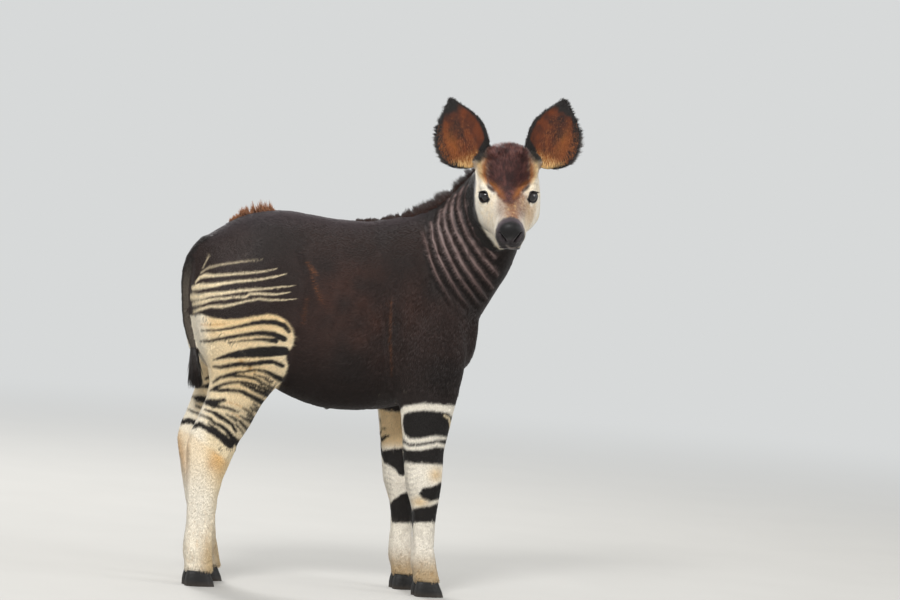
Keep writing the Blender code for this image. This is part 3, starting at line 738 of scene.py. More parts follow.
    def forelegs(
        self, paint: Paint, points: Array, near: Array, at: Array, region: Array, fine: Array
    ) -> None:
        """Banded forelegs, with one pattern on the outer face and another on the inner."""
        here = np.flatnonzero(np.isin(region, FORELEGS) & (points[:, 2] < 0.62))
        outer_at, fleck = at[here], fine[here]
        inner = near[here].copy()
        root, swung = self.fore_span
        inner[:, 0] += self.fore_shift * np.clip((root - inner[:, 2]) / (root - swung), 0, 1)
        inner[:, 1] *= -1
        inner_at = PLACING.picture(inner) + (outer_at - PLACING.picture(near[here]))
        side = step(0.010, -0.012, np.abs(points[here, 1]) - 0.080 - 0.012 * fleck * 0.2)
        part = paint.some(here)
        pale = patch_edge(outer_at, FORE_PALE) * (1 - side) + patch_edge(inner_at, INNER_PALE) * side
        part.within(pale, HUES.white, 0.7)
        inside = step(0.7, -0.7, pale)
        part.over(inside * side * step(452, 440, inner_at[:, 1]) * 0.8, HUES.butter)
        column, row = outer_at[:, 0], outer_at[:, 1]
        lower = step(458, 466, row) * step(512, 500, row)
        wave = np.sin(row * 1.25 + np.sin(column * 0.5) * 1.3 + fleck * 1.5)
        behind = np.maximum(step(424, 408, column) * (1 - side), step(400, 386, inner_at[:, 0]) * side)
        part.over(inside * lower * behind * step(0.25, 0.9, wave) * 0.45, HUES.ripple)
        for glow in (bump(column, 436, 7) * bump(row, 475, 7), bump(column, 420, 9) * bump(row, 502, 5)):
            part.over(inside * 0.7 * glow * (1 - side), HUES.butter)
        outer_dark = np.min([patch_edge(outer_at, patch) for patch in FORE_DARK], axis=0)
        inner_dark = np.min(
            [patch_edge(inner_at, patch) for patch in INNER_DARK]
            + [line_edge(inner_at, line) for line in INNER_LINES],
            axis=0,
        )
        part.within(np.clip(outer_dark, -6, 6) * (1 - side) + np.clip(inner_dark, -6, 6) * side, HUES.black)
        for line in FORE_CREAM:
            part.within(line_edge(outer_at, line), HUES.cream, 0.5, 1 - side)
        part.over(step(522, 530, row) * 0.30 * step(-0.4, 0.8, fleck), HUES.grey)
        part.over(step(548, 578, row) * 0.80, HUES.pastern)
        part.over(step(540, 590, row) * 0.35 * step(-0.2, 0.8, fleck), HUES.ochre)
        paint.rgb[here] = part.rgb

    def tail(self, paint: Paint, points: Array, region: Array, facing: Array) -> None:
        """A dark tail with a grey-tan strip down its outer side."""
        here = region == Region.TAIL
        strip = here * step(0.2, 0.8, -facing[:, 1]) * step(0.90, 0.80, points[:, 2]) * 0.55
        paint.over(here * 0.8, HUES.black)
        paint.over(strip, HUES.tail_grey)

    def head(self, paint: Paint, points: Array, region: Array, facing: Array, fine: Array) -> None:
        """A maroon forehead, orange temples, pale cheeks that end at the jaw, and a dark muzzle."""
        here = np.flatnonzero(region == Region.HEAD)
        spots = points[here]
        place = PLACING.to_head(spots)
        turned = facing[here] @ HEAD_AXES
        fleck, soft = fine[here], lumps(spots, 0.010, 8)
        blur = np.column_stack([fleck, lumps(spots, 0.005, 9)]) * 0.6
        column, row = (PLACING.picture(spots) + blur).T
        half = PLACING.picture(PLACING.from_head(place * np.where(place[:, 1:2] > 0, (1, -1, 1), 1))) + blur
        across, down = half.T
        part = Paint(len(here), HUES.white)
        part.over(0.30 + 0.4 * soft, HUES.cream)
        upper = step(0.15, 0.7, turned[:, 2])
        part.over(upper * step(494, 501, across) * step(194, 206, row) * (0.55 + 0.35 * fleck), HUES.grey)
        part.over(bump(across, 489, 6) * bump(down, 214, 16) * 0.2, HUES.butter)
        # painted shade: tan over the right cheek, the side turned from the light
        part.over(bump(column, 529, 5) * bump(row, 215, 14) * 0.30, HUES.tan)
        bridge = bump(column, 512, 14) * bump(row, 205, 16)
        part.over(bridge * (0.45 + 0.45 * step(505, 513, column) + 0.35 * fleck), HUES.gold)
        part.over(bridge * (0.25 + 0.25 * step(502, 511, column)), HUES.brow_brown)
        mottle = step(0.04, 0.28, np.abs(lumps(spots, 0.0050, 15))) * step(0.15, 0.5, bridge)
        part.over(mottle * (0.40 + 0.50 * step(503, 511, column)), HUES.brow_brown)
        glint = step(0.30, 0.65, lumps(spots, 0.0042, 17)) * step(0.3, 0.7, bridge)
        part.over(glint * step(503, 511, column) * 0.8, HUES.butter)
        part.over(bump(across, 499, 4.5) * bump(row, 214, 13) * (0.30 + 0.3 * soft), HUES.grey)
        # painted shade: more brown over the right cheek's shaded side
        part.over(bump(column, 531, 4) * bump(row, 212, 12) * (0.40 + 0.3 * soft), HUES.gold)
        for line, colour, share in (
            ((468, 163, 2.4, 474, 164, 2.8, 480, 165, 2.0), HUES.gold, 0.75),
            ((482, 160, 2.0, 480.5, 168, 2.6, 482, 177, 2.0, 485, 183, 0.8), HUES.butter, 0.85),
            ((487, 158, 1.6, 485.2, 166, 2.6, 485.2, 175, 2.6, 487, 182, 1.6), HUES.orange, 0.95),
            ((500, 195, 3.0, 505, 199, 3.4, 509, 203, 3.0), HUES.brow_brown, 0.7),
            ((476.5, 198, 1.2, 478, 212, 1.6, 484, 227, 1.6, 494, 240, 1.2), HUES.white, 0.9),
        ):
            part.within(line_edge(half, line), colour, 1.8, share)
        crown = patch_edge(
            half + np.column_stack([-fleck * 1.6, fleck]),
            (486, 120, 485.6, 150, 486.2, 160, 486.6, 170, 487, 178, 487.6, 184, 490.5, 188, 494, 191,
             498, 195.5, 502, 199.5, 506, 202.5, 510, 204.5, 520, 204.5, 520, 120),
        )
        part.within(crown + 2.2 * lumps(spots, 0.006, 18), HUES.maroon, 2.6)
        temple = patch_edge(
            half, (466, 130, 490.5, 130, 489, 151, 485.5, 158, 481.5, 163, 478, 162, 466, 158)
        )
        part.within(temple, HUES.black, 1.4, 0.97)
        inside = step(1.0, -3.0, crown)
        tangle = lumps(spots, 0.0075, 12) * 0.6 + lumps(spots, 0.0038, 16) * 0.6
        whorl = 0.5 * bump(row, 178, 14) * bump(across, 509, 8)
        part.over(inside * step(0.0, 0.5, tangle + whorl) * 0.85, HUES.maroon_dark)
        # lighter maroon mottling, and towards the top of the crown a painted highlight of the hair's sheen
        part.over(inside * step(0.05, 0.6, -tangle) * (0.35 + 0.45 * step(172, 150, row)), HUES.maroon_light_and_sheen)
        low = step(180, 194, row) * step(507, 498, across)
        part.over(inside * low * (0.6 + 0.4 * fleck), HUES.brow_brown)
        part.over(inside * step(0.1, 0.5, fleck) * step(494, 486, across) * 0.6, HUES.orange)
        glow = line_edge(half, (490, 182, 1.0, 495, 187, 2.0, 500, 193, 1.8, 504, 198, 1.0))
        part.within(glow, HUES.orange, 3.0, 0.50 + 0.45 * tangle)
        brow = line_edge(half, (487.2, 184.6, 0.9, 489.6, 187.4, 1.8, 493.6, 191.2, 0.9))
        part.within(brow, HUES.maroon_dark, 1.4, 0.9)
        away = np.where(place[:, 1] > 0, 1.0, 0.0)
        face = patch_edge(
            half + np.outer(away, (4.5, 0.0)),
            (470, 100, 473, 163, 476, 174, 476.5, 184, 475, 196, 475.5, 208, 478.5, 220, 485.5, 232.5,
             494.5, 244.5, 500, 250.5, 506, 256.5, 511, 260, 560, 264, 560, 100),
        )
        back = place[:, 0] + 0.018 * away - 0.25 * place[:, 2]
        hidden = step(0.010, -0.005, back) * step(0.062, 0.045, place[:, 2])
        under = step(0.4, 0.85, -turned[:, 2]) * step(0.20, 0.12, place[:, 0])
        part.within(-face, HUES.black, 1.0)
        part.over(np.maximum(hidden, under), HUES.black)
        muzzle = patch_edge(
            half,
            (530, 216, 511, 216.5, 503, 218.5, 498, 223, 495.2, 230, 494.8, 237, 496.2, 241.5, 499, 245.5,
             503, 250, 507, 254, 511, 257, 530, 257),
        ) / 14 + 0.05 * fleck
        muzzle = np.where(place[:, 0] > 0.245, muzzle, 9.0)
        front = step(0.300, 0.325, place[:, 0]) * step(0.5, 0.0, muzzle)
        chin = step(-0.15, 0.35, -turned[:, 2]) * step(0.225, 0.245, place[:, 0])
        chin *= step(0.040, 0.028, np.abs(place[:, 1])) * step(-0.060, -0.070, place[:, 2])
        part.over(np.maximum(step(0.07, -0.10, muzzle + 0.05 * fleck), np.maximum(front, chin)), HUES.muzzle)
        part.over(step(0.0, -0.5, muzzle) * (0.10 + 0.14 * soft) * step(246, 240, row), HUES.mauve)
        part.over(bump(muzzle, -0.12, 0.14) * bump(row, 224, 7) * 0.45, HUES.mauve)
        pad = np.hypot((across - 510.6) / 10.6, (row - 230.5) / 8.2) - 1
        part.over(step(0.25, -0.15, np.where(place[:, 0] > 0.29, pad, 9.0)), HUES.nose)
        seen = np.column_stack([column, row])
        lip = line_edge(seen, (506, 245.5, 0.5, 511, 248.6, 0.8, 516, 247.5, 0.4))
        part.within(np.where(place[:, 0] > 0.28, lip, 9.0), HUES.grey, 0.9, 0.45)
        for sign in SIDES.values():
            far, reach, high = LIDS.opening(place, sign)
            close = reach < PLACING.eye_radius + 0.010
            part.over(close * bump(far, 0.0062, 0.0030) * step(0.3, -0.5, high) * 0.8, HUES.white)
            part.over(close * step(0.0040, 0.0024, far), HUES.nose)
        paint.rgb[here] = part.rgb

    def ears(self, paint: Paint, points: Array, region: Array, facing: Array, fine: Array) -> None:
        """Black ears, orange-brown in the conch with painted shade in its hollow heart, and a pale tuft at
        the root.
        """
        for side, name in BLADES.items():
            here = np.flatnonzero(region == name)
            along, across, inner = EARS[side].place(points[here], facing[here])
            fleck, soft = fine[here], lumps(points[here], 0.014, 14)
            part = Paint(len(here), HUES.black)
            rim = EARS[side].rim(along, across) + fleck * 0.05
            wide = np.where(across > 0, 0.21, 0.17 + 0.62 * step(0.32, 0.17, along))
            bowl = inner * step(0.0, 1.0, (rim - wide) / 0.12)
            part.over(bowl, HUES.ear_orange)
            # painted shade: darker brown in the hollow of the cupped conch, mixed with random dark mottling
            cup_shade = bump(across, 0.022, 0.026) * bump(along, 0.60, 0.26)
            part.over(bowl * np.clip(cup_shade * 1.05 + 0.60 * soft + 0.35 * fleck + 0.1, 0, 1), HUES.ear_mottle_and_shade)
            glow = bump(across, 0.052, 0.016) * bump(along, 0.42, 0.2)
            part.over(bowl * glow * (0.30 + 0.3 * fleck), HUES.orange)
            part.over(bowl * step(0.26, 0.10, along) * 0.5, HUES.orange)
            part.over(inner * step(0.10, 0.03, along) * step(-0.002, 0.006, across) * 0.6, HUES.butter)
            paint.rgb[here] = part.rgb


@dataclass(frozen=True)
class Ear:
    """The frame of one ear blade, as its solid was made."""

    side: str
    length: float = 0.202
    root: tuple = (0.014, 0.074, 0.015)
    axis: tuple = (-0.30, 0.400, 0.870)
    outer_reach: tuple = (0.030, 0.070, 0.094, 0.100, 0.092, 0.072, 0.042, 0.008)
    inner_reach: tuple = (0.018, 0.034, 0.045, 0.053, 0.051, 0.037, 0.015, 0.002)
    shares: tuple = (0.0, 0.10, 0.22, 0.40, 0.56, 0.72, 0.87, 1.0)

    def axes(self) -> tuple[Array, Array, Array, Array]:
        """The ear's root, its length, its outward reach and its opening, in the calf's frame."""
        sign = SIDES[self.side]
        axis = Vector((self.axis[0], sign * self.axis[1], self.axis[2])).normalized()
        out = Vector((0.10, sign, 0.0))
        out = (out - axis * out.dot(axis)).normalized()
        opening = out.cross(axis) * sign
        root = PLACING.head() @ Vector((self.root[0], sign * self.root[1], self.root[2]))
        turned = [np.array(PLACING.head().to_3x3() @ way) for way in (axis, out, opening)]
        return np.array(root), *turned

    def place(self, points: Array, facing: Array) -> tuple[Array, Array, Array]:
        """Each place's share of the length, its reach across and whether it lies in the conch."""
        root, axis, out, opening = self.axes()
        along = (points - root) @ axis / self.length
        return along, (points - root) @ out, step(-0.15, 0.25, facing @ opening)

    def rim(self, along: Array, across: Array) -> Array:
        """How far in from the rim a place is, as a share of the reach there."""
        share = np.clip(along, 0.0, 1.0)
        outer = np.interp(share, self.shares, self.outer_reach)
        inner = np.interp(share, self.shares, self.inner_reach)
        gap = np.where(across > 0, 1 - across / outer, 1 + across / inner)
        return np.minimum(gap, (1 - share) * 1.3)


EARS = {side: Ear(side) for side in SIDES}
HIDE = Hide()


def new_material(name: str) -> tuple[Material, NodeTree, bpy.types.Node]:
    """An empty node material with its Principled shader.

    Args:
        name: The material's name.

    Returns:
        The material, its tree and the shader node.
    """
    made = bpy.data.materials.new(name)
    made.use_nodes = True
    return made, made.node_tree, made.node_tree.nodes["Principled BSDF"]


def wire(node: bpy.types.Node, links: dict) -> None:
    """Feeds inputs, by socket name or number, from sockets or from the first output of nodes."""
    for key, source in links.items():
        socket = source.outputs[0] if isinstance(source, bpy.types.Node) else source
        node.id_data.links.new(socket, node.inputs[key])


def add(
    tree: NodeTree, kind: str, settings: dict | None = None, links: dict | None = None
) -> bpy.types.Node:
    """Adds one node with its settings and links.

    Args:
        tree: The node tree.
        kind: The node's type name.
        settings: Node properties by name, and input values by socket name or number.
        links: What feeds its inputs, as for wire.

    Returns:
        The node.
    """
    node = tree.nodes.new(kind)
    for key, value in (settings or {}).items():
        if isinstance(key, str) and hasattr(node, key):
            setattr(node, key, value)
        else:
            node.inputs[key].default_value = value
    wire(node, links or {})
    return node


@dataclass(frozen=True)
class CoatFinish:
    """Short mammal hair, lying flat. Each hair is a smooth scaled rod, so the coat has a soft silky gloss."""

    name: str
    tufted: bool = True
    roughness: float = 0.50
    specular: float = 0.30
    sheen: float = 0.20
    fleck_size: float = 0.0024  # metres; a real hair is 0.05 mm wide, drawn coarser so that it shows
    fleck: float = 0.24

    def build(self) -> Material:
        """The material, which reads the coat's colour from root to tip and each tuft's own shade."""
        made, tree, shader = new_material(self.name)
        shader.inputs["Roughness"].default_value = self.roughness
        shader.inputs["Specular IOR Level"].default_value = self.specular
        shader.inputs["Sheen Weight"].default_value = self.sheen
        shader.inputs["Sheen Roughness"].default_value = 0.45
        colour = add(tree, "ShaderNodeAttribute", {"attribute_name": "coat_colour"}).outputs["Color"]
        shade = add(tree, "ShaderNodeAttribute", {"attribute_name": "shade"}).outputs["Fac"]
        if self.tufted:
            tip = add(tree, "ShaderNodeAttribute", {"attribute_name": "tip_colour"})
            along = add(tree, "ShaderNodeAttribute", {"attribute_name": "along"})
            colour = add(
                tree, "ShaderNodeMix", {"data_type": "RGBA"},
                {0: along.outputs["Fac"], 6: colour, 7: tip.outputs["Color"]},
            ).outputs[2]
        place = add(tree, "ShaderNodeTexCoord").outputs["Object"]
        grain = add(
            tree, "ShaderNodeTexNoise", {"Scale": 1 / self.fleck_size, "Detail": 2.0, "Roughness": 0.6},
            {"Vector": place},
        )
        mixed = add(tree, "ShaderNodeMath", {"operation": "ADD"}, {0: grain, 1: shade})
        bright = add(
            tree, "ShaderNodeMapRange",
            {"From Min": 0.2, "From Max": 0.8, "To Min": 1 - self.fleck, "To Max": 1 + self.fleck},
            {"Value": mixed},
        )
        tinted = add(
            tree, "ShaderNodeVectorMath", {"operation": "SCALE"}, {"Vector": colour, "Scale": bright}
        )
        wire(shader, {"Base Color": tinted})
        relief = add(tree, "ShaderNodeBump", {"Strength": 0.3, "Distance": 0.0010}, {"Height": grain})
        wire(shader, {"Normal": relief})
        return made


SKIN_FINISH = CoatFinish("skin_under_coat", tufted=False)


@dataclass(frozen=True)
class Lids:
    """The eyelids, as angles about the middle of an eyeball."""

    gaze_turn: float = 38.0  # degrees from straight ahead to the side
    gaze_rise: float = 16.0
    half_length: float = 58.0  # degrees from the middle to a corner of the opening
    half_height: float = 46.0
    thickness: float = 0.0022
    hollow: float = 0.0030  # how far behind the eyeball's surface the skin stays inside the opening
    reach: float = 0.015

    def axes(self, sign: float) -> Array:
        """Rows: the gaze, the way to the front corner, and up, in the head's frame."""
        turn, rise = math.radians(self.gaze_turn), math.radians(self.gaze_rise)
        level = math.cos(rise)
        gaze = np.array([math.cos(turn) * level, sign * math.sin(turn) * level, math.sin(rise)])
        corner = np.array([math.sin(turn), -sign * math.cos(turn), -0.30])
        corner -= gaze * (corner @ gaze)
        corner /= np.linalg.norm(corner)
        up = np.cross(gaze, corner) * sign
        return np.array([gaze, corner, up if up[2] > 0 else -up])

    def opening(self, place: Array, sign: float) -> tuple[Array, Array, Array]:
        """Where places lie about one eye.

        Args:
            place: Places in the head's frame.
            sign: -1 for the right eye and 1 for the left.

        Returns:
            How far outside the opening each is, in metres on the eyeball, its distance from the eyeball's
            middle, and how high it is over the corners' line, from -1 to 1.
        """
        middle = PLACING.eye_at(sign)
        out = place - middle
        reach = np.linalg.norm(out, axis=1)
        ahead, along, high = (unit(out) @ self.axes(sign).T).T
        length, height = math.radians(self.half_length), math.radians(self.half_height)
        a = np.arctan2(along, ahead) / length
        b = np.arctan2(high, ahead) / height
        tall = 1 - np.abs(a) ** 2.3 + 0.06 * a
        gap = np.where(np.abs(a) < 1, np.abs(b) - tall, np.hypot(np.abs(a) - 1, b))
        slope = np.sqrt(1 + (2.3 * np.clip(np.abs(a), 0, 1) ** 1.3 * height / length) ** 2)
        far = gap * height * PLACING.eye_radius / np.where(np.abs(a) < 1, slope, 1.0)
        far = np.where(ahead < 0.05, 0.05, far)
        return far, reach, np.clip(b, -1, 1)


LIDS = Lids()


@dataclass
class Skin:
    """The hide under the coat, made from copies of the flesh solids fused into one."""

    voxel: float = 0.0024
    swell: float = 0.0006
    ear_swell: float = 0.0010
    parting: float = 0.0009  # the widest gap between two solids cut from one body
    triangles: int = 176_000
    fine_reach: tuple = (0.034, 0.026)  # how far from an eye's middle the skin is cut finer, once and twice
    rounds: dict = field(default_factory=lambda: {"body": 70, "limbs": 26, "face": 12})
    coat_depth: dict = field(
        default_factory=lambda: {
            Region.TRUNK: 0.0034, Region.NECK: 0.0034, Region.HEAD: 0.0014, Region.TAIL: 0.0020,
            Region.FORE_RIGHT: 0.0020, Region.FORE_LEFT: 0.0020, Region.HIND_RIGHT: 0.0022,
            Region.HIND_LEFT: 0.0022, Region.EAR_RIGHT: 0.0012, Region.EAR_LEFT: 0.0012,
        }
    )

    def gather(self) -> Object:
        """One object of all flesh copies, each a little swollen so that the parting cuts close."""
        parts = {}
        for name in (*FLESH, "eye_right", "eye_left"):
            parts[name] = bmesh.new()
            parts[name].from_mesh(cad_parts[name].data)
            bmesh.ops.remove_doubles(parts[name], verts=parts[name].verts, dist=WELD)
        whole_ones = ("ear", "eye", "tail")
        self.open_cuts({name: part for name, part in parts.items() if not name.startswith(whole_ones)})
        whole = bmesh.new()
        for name, part in parts.items():
            copy = link("copy", poured(part, "copy"))
            if name.startswith("ear"):
                smoother = copy.modifiers.new("smoother", "SUBSURF")
                smoother.levels = smoother.render_levels = 2
                settled(copy)
            by = self.ear_swell if name.startswith("ear") else self.swell
            set_places(copy.data, places(copy.data) + normals(copy.data) * by)
            whole.from_mesh(copy.data)
            bpy.data.objects.remove(copy)
        return link("skin", poured(whole, "skin"))

    def open_cuts(self, parts: dict[str, bmesh.types.BMesh]) -> None:
        """Takes away the flat faces where the body was parted, which would leave walls inside the skin.

        Args:
            parts: The merged copies of the solids that one body was parted into.
        """
        trees = {}
        for name, part in parts.items():
            part.normal_update()
            trees[name] = BVHTree.FromBMesh(part)
        for name, part in parts.items():
            walls = []
            for face in part.faces:
                middle = face.calc_center_median()
                for other, tree in trees.items():
                    spot, facing, _, _ = tree.find_nearest(middle, self.parting)
                    if other != name and spot is not None and facing.dot(face.normal) < -0.8:
                        walls.append(face)
                        break
            log.info("%s: %d parted faces opened", name, len(walls))
            bmesh.ops.delete(part, geom=walls, context="FACES")

    def regions(self, points: Array) -> Array:
        """The region number of each place, from the nearest spot of a flesh solid."""
        spots, numbers = [], []
        for name, region in FLESH.items():
            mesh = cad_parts[name].data
            three = places(mesh)[triangles_of(mesh)]
            for mix in (
                (1, 0, 0), (0, 1, 0), (0, 0, 1), (1 / 3, 1 / 3, 1 / 3), (0.6, 0.2, 0.2), (0.2, 0.6, 0.2),
                (0.2, 0.2, 0.6), (0.5, 0.5, 0), (0.5, 0, 0.5), (0, 0.5, 0.5),
            ):
                spots.append(np.einsum("fij,i->fj", three, np.array(mix)))
                numbers.append(np.full(len(three), region))
        return np.concatenate(numbers)[nearest(np.concatenate(spots), points)]

    def smooth(self, mesh: Mesh, region: Array) -> None:
        """Smooths the solids' facets away, most on the body and least on the face and ears."""
        edges, points = edges_of(mesh), places(mesh)
        owners = [np.isin(region, of) for of in (BODY, (Region.HEAD,), EAR_BLADES)]
        masks = eased(np.column_stack(owners).astype(float), edges, 8, 0.5)
        eyes = PLACING.eye_gap(PLACING.to_head(points - ORIGIN))
        hold = 1 - 0.75 * masks[:, 2]
        limbs = np.clip(0.5 * hold * (1 - 0.55 * masks[:, 1] * step(0.05, 0.02, eyes)), 0, 0.5)
        points = eased(points, edges, self.rounds["face"], limbs)
        more = self.rounds["limbs"] - self.rounds["face"]
        points = eased(points, edges, more, limbs * (1 - 0.7 * masks[:, 1]))
        rest = self.rounds["body"] - self.rounds["limbs"]
        set_places(mesh, eased(points, edges, rest, 0.5 * masks[:, 0] ** 2))

    def refine(self, obj: Object) -> None:
        """Cuts the skin finer round the eyes and on the muzzle."""
        for reach in self.fine_reach:
            made = bmesh.new()
            made.from_mesh(obj.data)
            place = PLACING.to_head(places(obj.data) - ORIGIN)
            keep = np.zeros(len(place), bool)
            for sign in SIDES.values():
                middle = PLACING.eye_at(sign)
                front = (place - middle) @ LIDS.axes(sign)[0] > -0.004
                keep |= (np.linalg.norm(place - middle, axis=1) < reach) & front
            if reach == self.fine_reach[0]:
                keep |= (place[:, 0] > 0.285) & (np.abs(place[:, 1]) < 0.05)
            edges = [e for e in made.edges if keep[e.verts[0].index] and keep[e.verts[1].index]]
            bmesh.ops.subdivide_edges(made, edges=edges, cuts=1, use_grid_fill=True)
            bmesh.ops.triangulate(made, faces=[f for f in made.faces if len(f.verts) > 4])
            poured(made, obj.data)

    def sink(self, mesh: Mesh, region: Array) -> None:
        """Draws the skin in by the depth of its coat."""
        depth = np.zeros(len(region))
        for one, amount in self.coat_depth.items():
            depth[region == one] = amount
        depth = eased(depth[:, None], edges_of(mesh), 12, 0.5)[:, 0]
        place = PLACING.to_head(places(mesh) - ORIGIN)
        depth *= np.where(region == Region.HEAD, step(0.36, 0.26, place[:, 0]) * 0.8 + 0.2, 1.0)
        set_places(mesh, places(mesh) - normals(mesh) * depth[:, None])

    def sculpt(self, mesh: Mesh, region: Array) -> None:
        """Adds the folds of the neck and flank, the lids, the nostrils and the mouth."""
        points = places(mesh) - ORIGIN
        way = unit(eased(normals(mesh), edges_of(mesh), 4, 0.5))
        rise = Folds().height(points, way, region)
        points = points + way * rise[:, None]
        points = Face().shape(points, region)
        set_places(mesh, points + ORIGIN)

    def thin(self, obj: Object, region: Array) -> None:
        """Takes triangles off where the skin is smooth, and keeps them on the head, ears and markings."""
        group = obj.vertex_groups.new(name="thinning")
        points = places(obj.data) - ORIGIN
        place = PLACING.to_head(points)
        head, legs = region == Region.HEAD, np.isin(region, LEGS)
        weight = np.full(len(points), 0.90)
        for where, amount in (
            (head, 0.80),
            (np.isin(region, EAR_BLADES) | legs, 0.70),
            ((points[:, 0] < -0.08) & (points[:, 2] < 0.90) & ~legs, 0.62),
            (head & (PLACING.eye_gap(place) < self.fine_reach[0]), 0.0),
            (head & (place[:, 0] > 0.29), 0.45),
        ):
            weight[where] = amount
        for amount in np.unique(weight):
            group.add(np.flatnonzero(weight == amount).tolist(), float(amount), "REPLACE")
        count = sum(len(face.vertices) - 2 for face in obj.data.polygons)
        thinner = obj.modifiers.new("thinner", "DECIMATE")
        thinner.ratio = self.triangles / count
        thinner.vertex_group = "thinning"
        thinner.use_collapse_triangulate = True
        settled(obj)
        obj.vertex_groups.clear()

    def build(self) -> Object:
        """The finished skin, with its markings stored on it."""
        obj = self.gather()
        fuse = obj.modifiers.new("fuse", "REMESH")
        fuse.mode = "VOXEL"
        fuse.voxel_size = self.voxel
        settled(obj)
        region = self.regions(places(obj.data))
        log.info("skin fused: %d vertices", len(region))
        self.smooth(obj.data, region)
        self.sink(obj.data, region)
        set_attribute(obj.data, "region", "INT", region)
        self.refine(obj)
        region = read_region(obj.data)
        self.sculpt(obj.data, region)
        self.thin(obj, region)
        region = self.regions(places(obj.data))  # the thinning mixes the numbers stored before it
        set_attribute(obj.data, "region", "INT", region)
        points = places(obj.data) - ORIGIN
        set_attribute(obj.data, "coat_colour", "FLOAT_COLOR", HIDE.colour(points, region, normals(obj.data)))
        set_attribute(obj.data, "shade", "FLOAT", np.full(len(points), 0.0))
        wear(obj.data, SKIN_FINISH.build())
        log.info("skin: %d triangles", len(obj.data.polygons))
        return obj


def read_region(mesh: Mesh) -> Array:
    """The region number of each vertex of the skin."""
    return read(mesh.attributes["region"].data, "value", 1, np.int32)[:, 0]


@dataclass(frozen=True)
class Folds:
    """Folds and muscle lines that the solids are too coarse for, as heights over the skin."""

    pleat_height: float = 0.0075
    pleats: tuple = (
        (471, 178, 0.8, 467, 190, 1, 466, 204, 1.1, 470, 220, 1.2, 477, 235, 1.3, 486, 247, 1.2,
         496, 258, 0.8),
        (466, 182, 0.8, 460, 194, 1.1, 458, 207, 1.2, 462, 222, 1.3, 469, 237, 1.3, 479, 252, 1.3,
         491, 267, 1, 498, 275, 0.6),
        (458, 190, 0.9, 452, 203, 1.2, 451, 215, 1.3, 456, 231, 1.3, 465, 248, 1.4, 476, 266, 1.3,
         488, 281, 1.1, 493, 288, 0.6),
        (450, 198, 0.7, 444, 212, 1, 446, 228, 1.4, 453, 246, 1.4, 463, 265, 1.4, 476, 285, 1.2,
         487, 299, 0.7),
        (441, 210, 0.7, 438, 224, 1.1, 442, 241, 1.3, 450, 260, 1.3, 461, 280, 1.3, 475, 299, 1,
         482, 308, 0.5),
        (431, 222, 0.6, 433, 240, 1, 439, 258, 1.1, 449, 278, 1.1, 461, 297, 0.9, 470, 308, 0.5),
        (423, 232, 0.4, 428, 252, 0.7, 435, 272, 0.8, 445, 292, 0.7, 452, 304, 0.4),
    )

    def ridges(self, at: Array) -> Array:
        """How near each place of the picture is to the top of a pleat, from 0 to 1."""
        ridge = np.zeros(len(at))
        for line in self.pleats:
            ridge = np.maximum(ridge, np.exp(-((np.clip(line_edge(at, line) + 0.9, 0, None) / 1.7) ** 2)))
        return ridge

    def height(self, points: Array, way: Array, region: Array) -> Array:
        """How far each point of the skin rises along its normal.

        Args:
            points: Places in the calf's own frame.
            way: Outward directions there.
            region: Region numbers.

        Returns:
            Heights in metres, negative in a groove.
        """
        sway = np.column_stack([lumps(points, 0.02, seed) for seed in (21, 22)])
        at = PLACING.picture(points) + sway * 0.8
        rise = np.zeros(len(points))
        neck = np.isin(region, BODY)
        towards = step(0.0, -0.35, way[:, 1] * 0.9 - way[:, 0] * 0.1)
        extent = step(418, 434, at[:, 0]) * step(316, 290, at[:, 1]) * step(176, 186, at[:, 1])
        rise += neck * towards * extent * (self.ridges(at) - 0.5) * self.pleat_height
        near = HIDE.near_side(points, region)
        seen = PLACING.picture(near)
        side = (np.abs(points[:, 1]) > 0.03) * (points[:, 0] < 0.45)
        flank = line_edge(seen, (303, 250, 1, 309, 268, 1.5, 314, 285, 1, 309, 302, 1, 302, 326, 1))
        rise += side * (region == Region.TRUNK) * np.exp(-((flank / 4.5) ** 2)) * 0.004
        elbow = line_edge(seen, (386, 320, 0.5, 389, 345, 1, 392, 376, 1, 398, 392, 1))
        rise -= side * np.exp(-((elbow / 3.0) ** 2)) * 0.0035
        blade = line_edge(seen, (372, 232, 1, 380, 262, 1, 396, 292, 1, 424, 318, 1))
        rise -= side * np.exp(-((blade / 6.0) ** 2)) * 0.0030
        ribs = np.sin((points[:, 0] - 0.28 * points[:, 2]) * 2 * math.pi / 0.036)
        rise += side * 0.0007 * ribs * bump(points[:, 0], 0.06, 0.09) * bump(points[:, 2], 0.80, 0.10)
        rise += neck * 0.0010 * lumps(points, 0.035, 23)
        return rise


